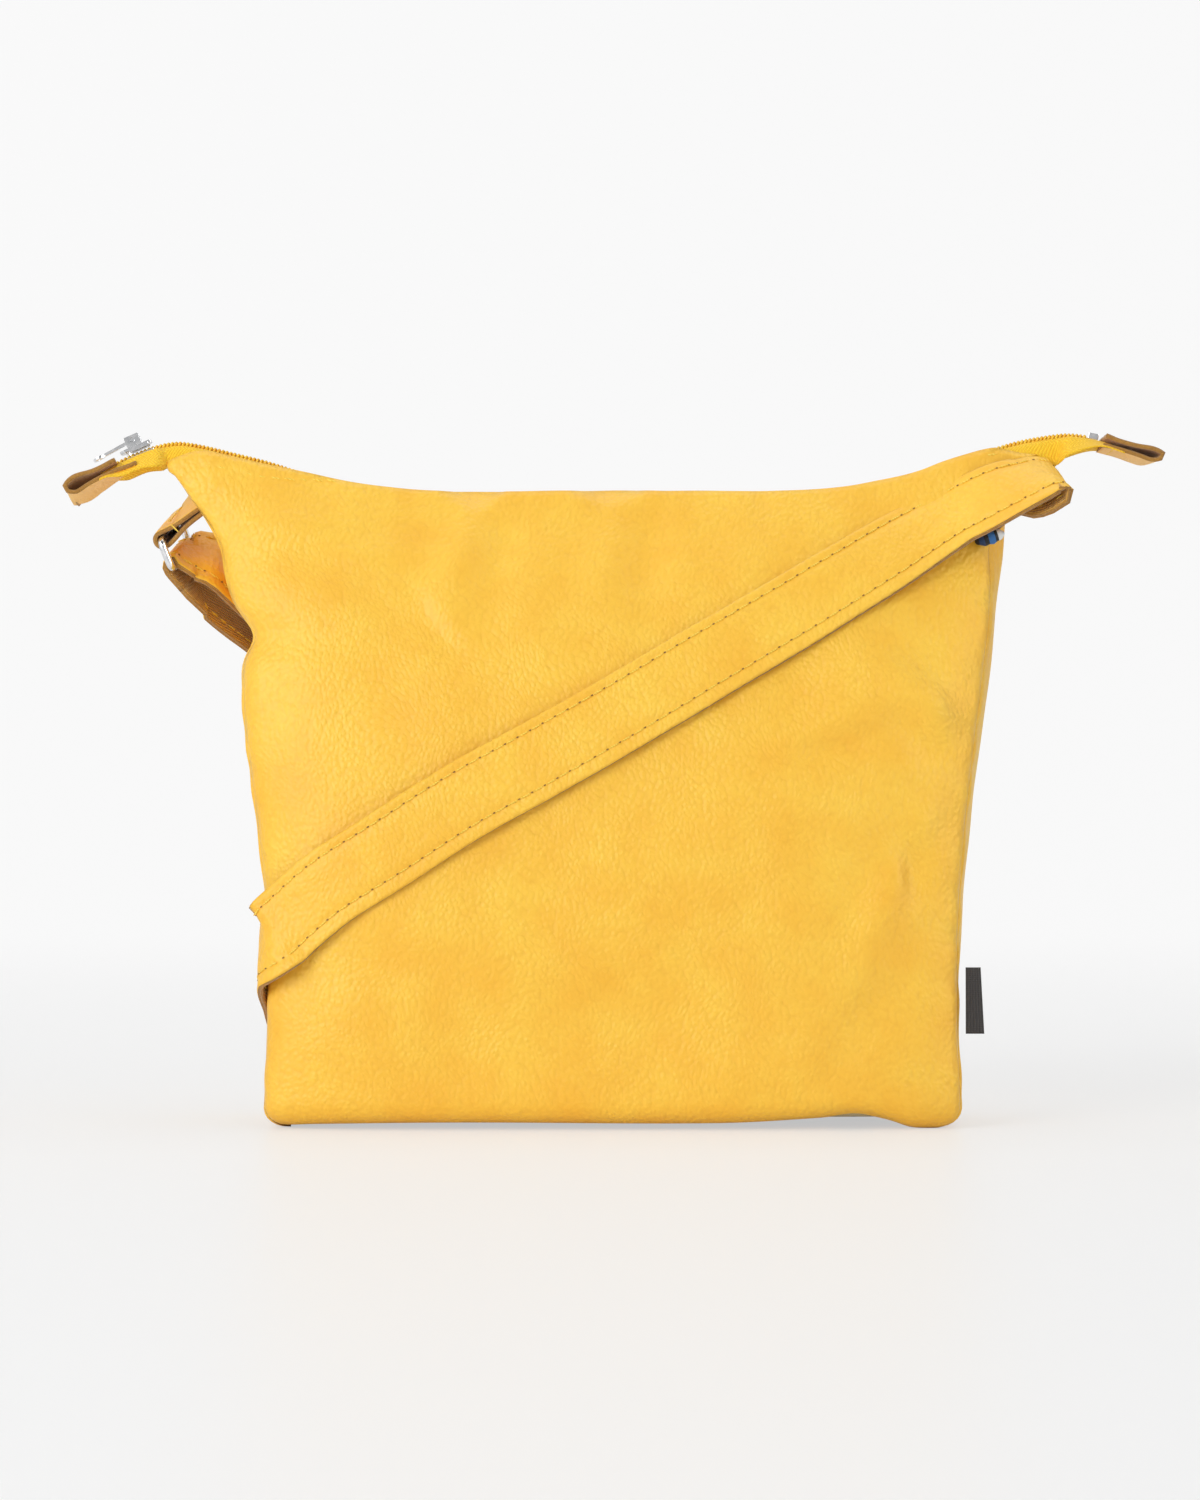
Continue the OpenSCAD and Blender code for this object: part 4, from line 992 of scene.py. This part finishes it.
STRAP_START = [V(150, -3, 234), V(153.5, -7, 240), V(158, -11, 241.2), V(163, -14.5, 240.4),
               V(167.8, -17.2, 241.7), V(169.8, -17.8, 243.1), V(170.7, -18.2, 245.2), V(169.8, -18.8, 247.2),
               V(167.4, -19.5, 248.1), V(163, -20.6, 247.6), V(157, -22, 245.2), V(146, -21, 240.6)]
STRAP_LEFT = [V(-128, -43, 72), V(-132.2, -35, 67), V(-131.5, -15, 56), V(-130.5, 5, 45),
              V(-130.5, 27, 31), V(-127.5, 39.5, 24), V(-118, BACK_FOOT_Y + 1, FOOT_Z),
              V(-80, BACK_FOOT_Y, FOOT_Z), V(-20, BACK_FOOT_Y, FOOT_Z), V(25, BACK_FOOT_Y, FOOT_Z)]
# The legs turn edge on to the front where they leave the back of the bag for the ring
LEG_POINTS = ([LEG_LOW.lerp(LEG_HIGH, i / 5) for i in range(5)]
              + [LEG_HIGH - LEG_DIR * 22, LEG_HIGH + V(0, 3, 8)])
LEG_WAYS = [LEG_ACROSS] * 5 + [V(0.6, 0.15, 0.74), V(0.15, 0.9, 0.35)]
STRAP_POINTS = (STRAP_START + [on_front(x, z) for x, z in FRONT_RUN] + STRAP_LEFT
                + [HAIRPIN_MID + turned(V(0, -HAIRPIN_R, 0), q) for q in HAIRPIN_TURN] + LEG_POINTS
                + [RING_LOW + LEG_IN * RING_LEAD + LEG_SIDE * 2.6 + V(-0.2, -1.8, 12.2),
                   RING_LOW + LEG_IN * 8 + LEG_SIDE * 3 + V(0.5, -0.8, 5.6)]
                + arc(RING_LOW, LEG_SIDE, LEG_IN, RING_TURN, 0, -180, 4)
                + [RING_LOW + LEG_IN * 9 - LEG_SIDE * 3.4])
STRAP_WAYS = ([V(0.05, 0.98, 0.15), V(-0.1, 0.93, 0.3), V(-0.17, 0.89, 0.4), V(-0.18, 0.88, 0.43),
               V(-0.18, 0.87, 0.44), V(-0.18, 0.87, 0.45), V(-0.18, 0.87, 0.45), V(-0.19, 0.87, 0.45),
               V(-0.2, 0.86, 0.46), V(-0.24, 0.83, 0.5), V(-0.3, 0.76, 0.57), V(-0.36, 0.66, 0.66),
               V(-0.37, 0.63, 0.68), V(-0.43, 0.42, 0.8)] + [way_on_front(x, z) for x, z in FRONT_RUN[2:]]
              + [V(-0.18, 0.2, 0.96), V(0.02, 0.4, 0.92), V(0.02, 0.5, 0.86), V(0.02, 0.5, 0.86),
                 V(0.03, 0.42, 0.9), V(0.08, 0.2, 0.97)] + [V(0, 0, 1)] * 4
              + [turned(V(0, 0, 1), q) for q in HAIRPIN_TURN] + LEG_WAYS
              + [V(0.05, 0.76, 0.65), V(0.08, 0.78, 0.62), V(0.1, 0.88, 0.46)] + [RING_ACROSS] * 5)
# The place in the route where the strap reaches the ring's lead
RING_AT = sum(len(points) for points in (STRAP_START, FRONT_RUN, STRAP_LEFT, HAIRPIN_TURN, LEG_POINTS))
STITCH_ROWS = (0.18, 0.875)
STITCH_PITCH = 5.4


def strap_profile(u, d):
    """The face is crowned between its stitch rows, which draw it in, and thin at its cut edges."""
    edge = min(u, 1 - u)
    low, high = STITCH_ROWS
    groove = math.exp(-(min(abs(u - low), abs(u - high)) / 0.028) ** 2)
    pucker = 0.5 + 0.5 * math.cos(math.tau * (d - 4) / STITCH_PITCH)
    swell_up = 0.35 * smooth((u - low) / 0.14) * smooth((high - u) / 0.14)
    return swell_up - groove * (0.3 + 0.2 * pucker) - 0.35 * smooth(1 - edge / 0.03) + 0.12 * noise.noise(
        Vector((u * 4, d / 9, 1.1)))


def sewn_strap(band, leather, webbing, thread, body, weave=None):
    """Leather face, webbing back and stitches of a stretch of strap. A layer is its name and its node."""
    skin = 0.3
    pieces = [
        band.layer(leather[0], STRAP_T / 2 - skin, STRAP_FACE_T - skin, [LEATHER, RAW_EDGE, RAW_EDGE],
                   strap_profile, across=28, body=body, replaced=[leather[1]], slot="leather"),
        band.layer(webbing[0], -STRAP_T / 2, WEBBING_T, [WEBBING, WEBBING, RAW_EDGE], weave,
                   face_up=False, body=body, replaced=[webbing[1]], slot="webbing")]
    rows = []
    for u in STITCH_ROWS:
        rows += band.row(u, STRAP_T / 2 - 0.35, STITCH_PITCH)
        rows += band.row(u, -STRAP_T / 2 - 0.08, STITCH_PITCH, 6.5)
    return pieces + [stitches(thread, rows, body, long=4.4, thick=0.75)]


def build_strap():
    strap = Band(STRAP_POINTS, STRAP_WAYS, STRAP_W, 2.2, 0.012)
    sewn_strap(strap, ("strap_face_leather", "strap_leather"), ("strap_back_webbing", "strap_webbing"),
               "strap_stitches", "bag", lambda u, d: 0.1 * noise.noise(Vector((u * 5, d / 7, 4))))
    # Dark dots between the stitches: painted shade in the needle holes
    hole_shade_places = [place for u in STITCH_ROWS for place in strap.row(
        u, STRAP_T / 2 - 0.3, STITCH_PITCH, 4 + STITCH_PITCH / 2)]
    stitches("strap_needle_hole_shade", hole_shade_places, long=1.0, thick=0.62, material=NEEDLE_HOLE_SHADE)

    adjuster_below = 104
    adjuster_at = LEG_HIGH - LEG_DIR * adjuster_below
    out = -LEG_ACROSS.cross(LEG_DIR)
    bar_d, bar_play, fold = 2.4, 0.3, 22
    far = STRAP_T / 2 + bar_play + STRAP_T + 0.1 + bar_d / 2
    turn = bar_d / 2 + 0.1 + STRAP_T / 2

    def by_adjuster(along, away):
        return adjuster_at + LEG_DIR * along + out * away

    strap_route, strap_ways = placed(STRAP_POINTS), placed(STRAP_WAYS, STRAP_POINTS)
    high, higher = strap_route[RING_AT - 1][0], strap_route[RING_AT - 2][0]

    def beside(at, gap):
        middle, _, up = band_frame(strap_route, strap_ways, at)
        return middle - up * gap

    stations = [(high, 8), (higher * 0.7 + high * 0.3, far + 2.5)]
    last_way = (STRAP_POINTS[-1] - STRAP_POINTS[-2]).normalized()
    points = [STRAP_POINTS[-1], STRAP_POINTS[-1] + last_way * 3,
              RING_LOW + LEG_IN * RING_LEAD - LEG_SIDE * 6.8 + V(0, 0, 6.5)] + [
        beside(at, gap) for at, gap in stations] + [by_adjuster(fold + 0.1, far + 1.4)]
    ways = [RING_ACROSS, RING_ACROSS, LEAD_WAY] + [
        band_frame(strap_route, strap_ways, at)[1] for at, gap in stations] + [LEG_ACROSS]
    tail = Band(points, ways, STRAP_W, 2.4, 0.012)
    for piece in sewn_strap(tail, ("strap_tail_leather", "strap_tail"),
                            ("strap_tail_back_webbing", "strap_tail_webbing"), "strap_tail_stitches", None):
        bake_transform(piece)

    end_points = ([by_adjuster(fold, far + 1.4), by_adjuster(7, far + turn)]
                  + arc(by_adjuster(0, far), out, LEG_DIR, turn, 0, -180, 6)
                  + [by_adjuster(7, far - turn), by_adjuster(fold, far - turn)])
    loop = Band(end_points, [LEG_ACROSS] * len(end_points), STRAP_W, 1.2)
    loop.layer("strap_end_leather", STRAP_T / 2, STRAP_T, [LEATHER, WEBBING, RAW_EDGE],
               lambda u, d: -0.3 * smooth(1 - min(u, 1 - u) / 0.03), body="adjuster",
               replaced=["strap_end_loop"], slot="leather")
    across = [(by_adjuster(fold - 4, far + 1.5 + STRAP_T / 2) + LEG_ACROSS * x, LEG_ACROSS, out)
              for x in range(-12, 13, 4)]
    stitches("strap_end_stitches", across, body="adjuster", long=3.2, thick=0.7)


def build_tabs():
    left = [V(-182, 1, 252.6), V(-193, 1, 248.2), V(-198.8, 1, 245), V(-204.5, 1, 241.9), V(-208.6, 1, 243.3),
            V(-205.4, 1, 247.4), V(-197, 1, 250.2), V(-190, 1, 253.6)]
    right = [V(188, 1, 259.4), V(194.6, 1, 257.8), V(201, 1, 255.6), V(206.4, 1, 254.2), V(210.4, 1, 255.6),
             V(207.3, 1, 258), V(199.3, 1, 259.6), V(194, 1, 261), V(189, 1, 263)]
    width = 24
    for name, route, lean in (("left", left, 0.1), ("right", right, -0.1)):
        tab = Band(route, [V(lean, 1, 0)] * len(route), width, 1.2, 0.02)
        if name == "left":
            tab.pinch = (route[4], (route[0] + route[-1]) / 2)
        tab.droop = 5.5 if name == "left" else 0
        up = name == "right"
        # The tabs' paler leather is painted light on their down-turned faces
        tab.layer(f"{name}_end_tab_leather", TAB_T / 2 if up else -TAB_T / 2, TAB_T,
                  [LIT_TAB_LEATHER, FLESH_SIDE, RAW_EDGE],
                  lambda u, d: 0.25 * noise.noise(Vector((u * 4, d / 6, 2.2))), face_up=up, across=20,
                  replaced=[f"end_tab_{name}"], slot="tab_leather")
        row = []
        for d in (4.0, tab.length - 4.0):
            for i in range(5):
                p = tab.point(0.14 + 0.18 * i, d / tab.length, (TAB_T / 2 + 0.1) * (1 if up else -1))
                w, n = tab.at(d / tab.length)[1:]
                row.append((p, w, n if up else -n))
        stitches(f"{name}_end_tab_stitches", row, long=3.0, thick=0.6)

    root = V(-155, 8, 243.5)
    tab_turn = RING_WIRE / 2 + 0.7 + TAB_T / 2
    tab_in = square_to(root - RING_TOP, RING_ACROSS)
    tab_side = RING_ACROSS.cross(tab_in)
    points = ([root + tab_side * 0.95, RING_TOP + tab_in * 8 + tab_side * 1.5]
              + arc(RING_TOP, tab_side, tab_in, tab_turn, 0, -180, 4)
              + [RING_TOP + tab_in * 8 - tab_side * 1.5, root - tab_side * 0.95])
    last = len(points) - 1
    root_way = V(-0.28, 0.93, 0.24)
    ways = [root_way if i in (0, last) else RING_ACROSS.lerp(root_way, 0.35) if i in (1, last - 1)
            else RING_ACROSS for i in range(last + 1)]
    tab = Band(points, ways, STRAP_W, 1.0, 0.012)
    up = tab.at(0.1)[2].dot(tab_side) > 0
    tab.layer("ring_tab_leather", TAB_T / 2 if up else -TAB_T / 2, TAB_T, [LEATHER, FLESH_SIDE, RAW_EDGE],
              lambda u, d: 0.15 * noise.noise(Vector((u * 4, d / 6, 7.2))), face_up=up, across=20,
              replaced=["ring_tab"], slot="leather")
    seam = RING_TOP + tab_in * 7
    row = []
    for side in (-1, 1):
        for i in range(6):
            row.append((seam + tab_side * side * (TAB_T + 1.65) + RING_ACROSS * (-12.5 + 5 * i), RING_ACROSS,
                        tab_side * side))
    row.append((seam - RING_ACROSS * (STRAP_W / 2 + 0.15), tab_side, -RING_ACROSS))
    stitches("ring_tab_stitches", row, long=4.4, thick=0.7)


# ---------------------------------------------------------------- trims and hardware
def build_trims():
    label_h, label_w, label_z, label_t = 25, 7, 36, 0.7
    k = (label_z + label_h / 2) / MOUTH_H
    x0, y0 = half_w(k, 1) + 0.3, -face_y(k, 1, 0) - label_t - 0.1

    def label_point(u, v):
        y = y0 - 0.3 * math.sin(math.pi * u) + 0.8 * v
        return V(x0 + u * (label_w - 1.3 * v), y, label_z + v * label_h)

    mesh = grid_mesh("side_label_woven", 10, 30, (label_w, label_h), label_point)
    thicken(link_piece(mesh.name, mesh, [LABEL], replaced=["side_label"], slot="label"), label_t, 0, 0)

    loop_z, loop_d = 224, 6
    k = (loop_z - ear(half_w(0.93, 1))) / MOUTH_H
    middle = V(half_w(k, 1) - 5.5, -face_y(k, 1, 0) - loop_d / 2 - 1, loop_z)
    bm = bmesh.new()
    uv = bm.loops.layers.uv.new("UVMap")
    bmesh.ops.create_uvsphere(bm, u_segments=24, v_segments=20, radius=1)
    for face in bm.faces:
        for loop in face.loops:
            loop[uv].uv = (min(0.999, max(0.001, loop.vert.co.z * 0.5 + 0.5)), 0.5)
    place = Matrix.Translation(middle) @ Matrix.Rotation(math.radians(72), 4, "Y")
    for vert in bm.verts:
        vert.co.x *= 0.95 + 0.08 * math.sin(vert.co.z * 11)
        vert.co = (place @ Vector((vert.co.x * 2.9, vert.co.y * 2.9, vert.co.z * 5.9))) * MM
    mesh = bpy.data.meshes.new("seam_loop_cord")
    bm.to_mesh(mesh)
    bm.free()
    link_piece(mesh.name, mesh, [STRIPED], replaced=["seam_loop"], slot="striped_tape")


def build_hem_stitches():
    row = []
    for side in (-1, 1):
        x = -160.0
        while x < 160:
            line = hem_seam(x)
            d = WALL_LEN - math.pi * LIP - line + LIP

            def at(place):
                w, radius, turn = corner(side, place < 0, 1 - line / MOUTH_H)
                return panel_point(side, place / (w - radius * (math.sin(turn) - turn)), d)
            a, b, up = at(x), at(x + 1), panel_point(side, x / 165, d + 1.5)
            out = (b - a).cross(up - a)
            out = -out if out.y * side < 0 else out
            if line > 1.2:
                row.append((a + out.normalized() * 0.12, b - a, out))
            x += STITCH_PITCH * 0.96
    stitches("hem_stitches", row, long=4.2, thick=0.8)


def dress_hardware():
    """Rounds the edges of the metal CAD pieces and plates them."""
    turned_wire = ("slider_pin", "strap_ring", "adjuster_bar")
    for name in ("zip_top_stops", "zip_bottom_stop", "slider_body", "slider_pull", "adjuster_frame",
                 *turned_wire):
        piece = nodes[name]
        piece.data.materials.clear()
        piece.data.materials.append(PLATED)
        if name not in turned_wire:
            weld = piece.modifiers.new("join", "WELD")
            weld.merge_threshold = 0.01 * MM
            round_off = piece.modifiers.new("edges", "BEVEL")
            round_off.width = 0.18 * MM
            round_off.segments = 2
            round_off.limit_method = "ANGLE"
            round_off.angle_limit = math.radians(35)


add_camera()
add_stage()
add_studio()
add_lamp("key_softbox", (-1.7, -2.2, 1.05), (0, 0, 0.12), (1.5, 1.5), 38.5)
add_lamp("fill_softbox", (1.9, -1.5, 0.9), (0, 0, 0.12), (1.6, 1.6), 4)
add_lamp("top_softbox", (0, 0.2, 2.2), (0, 0, 0.1), (1.8, 1.8), 12)
build_body()
build_inside()
build_zip()
build_strap()
build_tabs()
build_trims()
build_hem_stitches()
dress_hardware()
scene.view_settings.view_transform = "Standard"
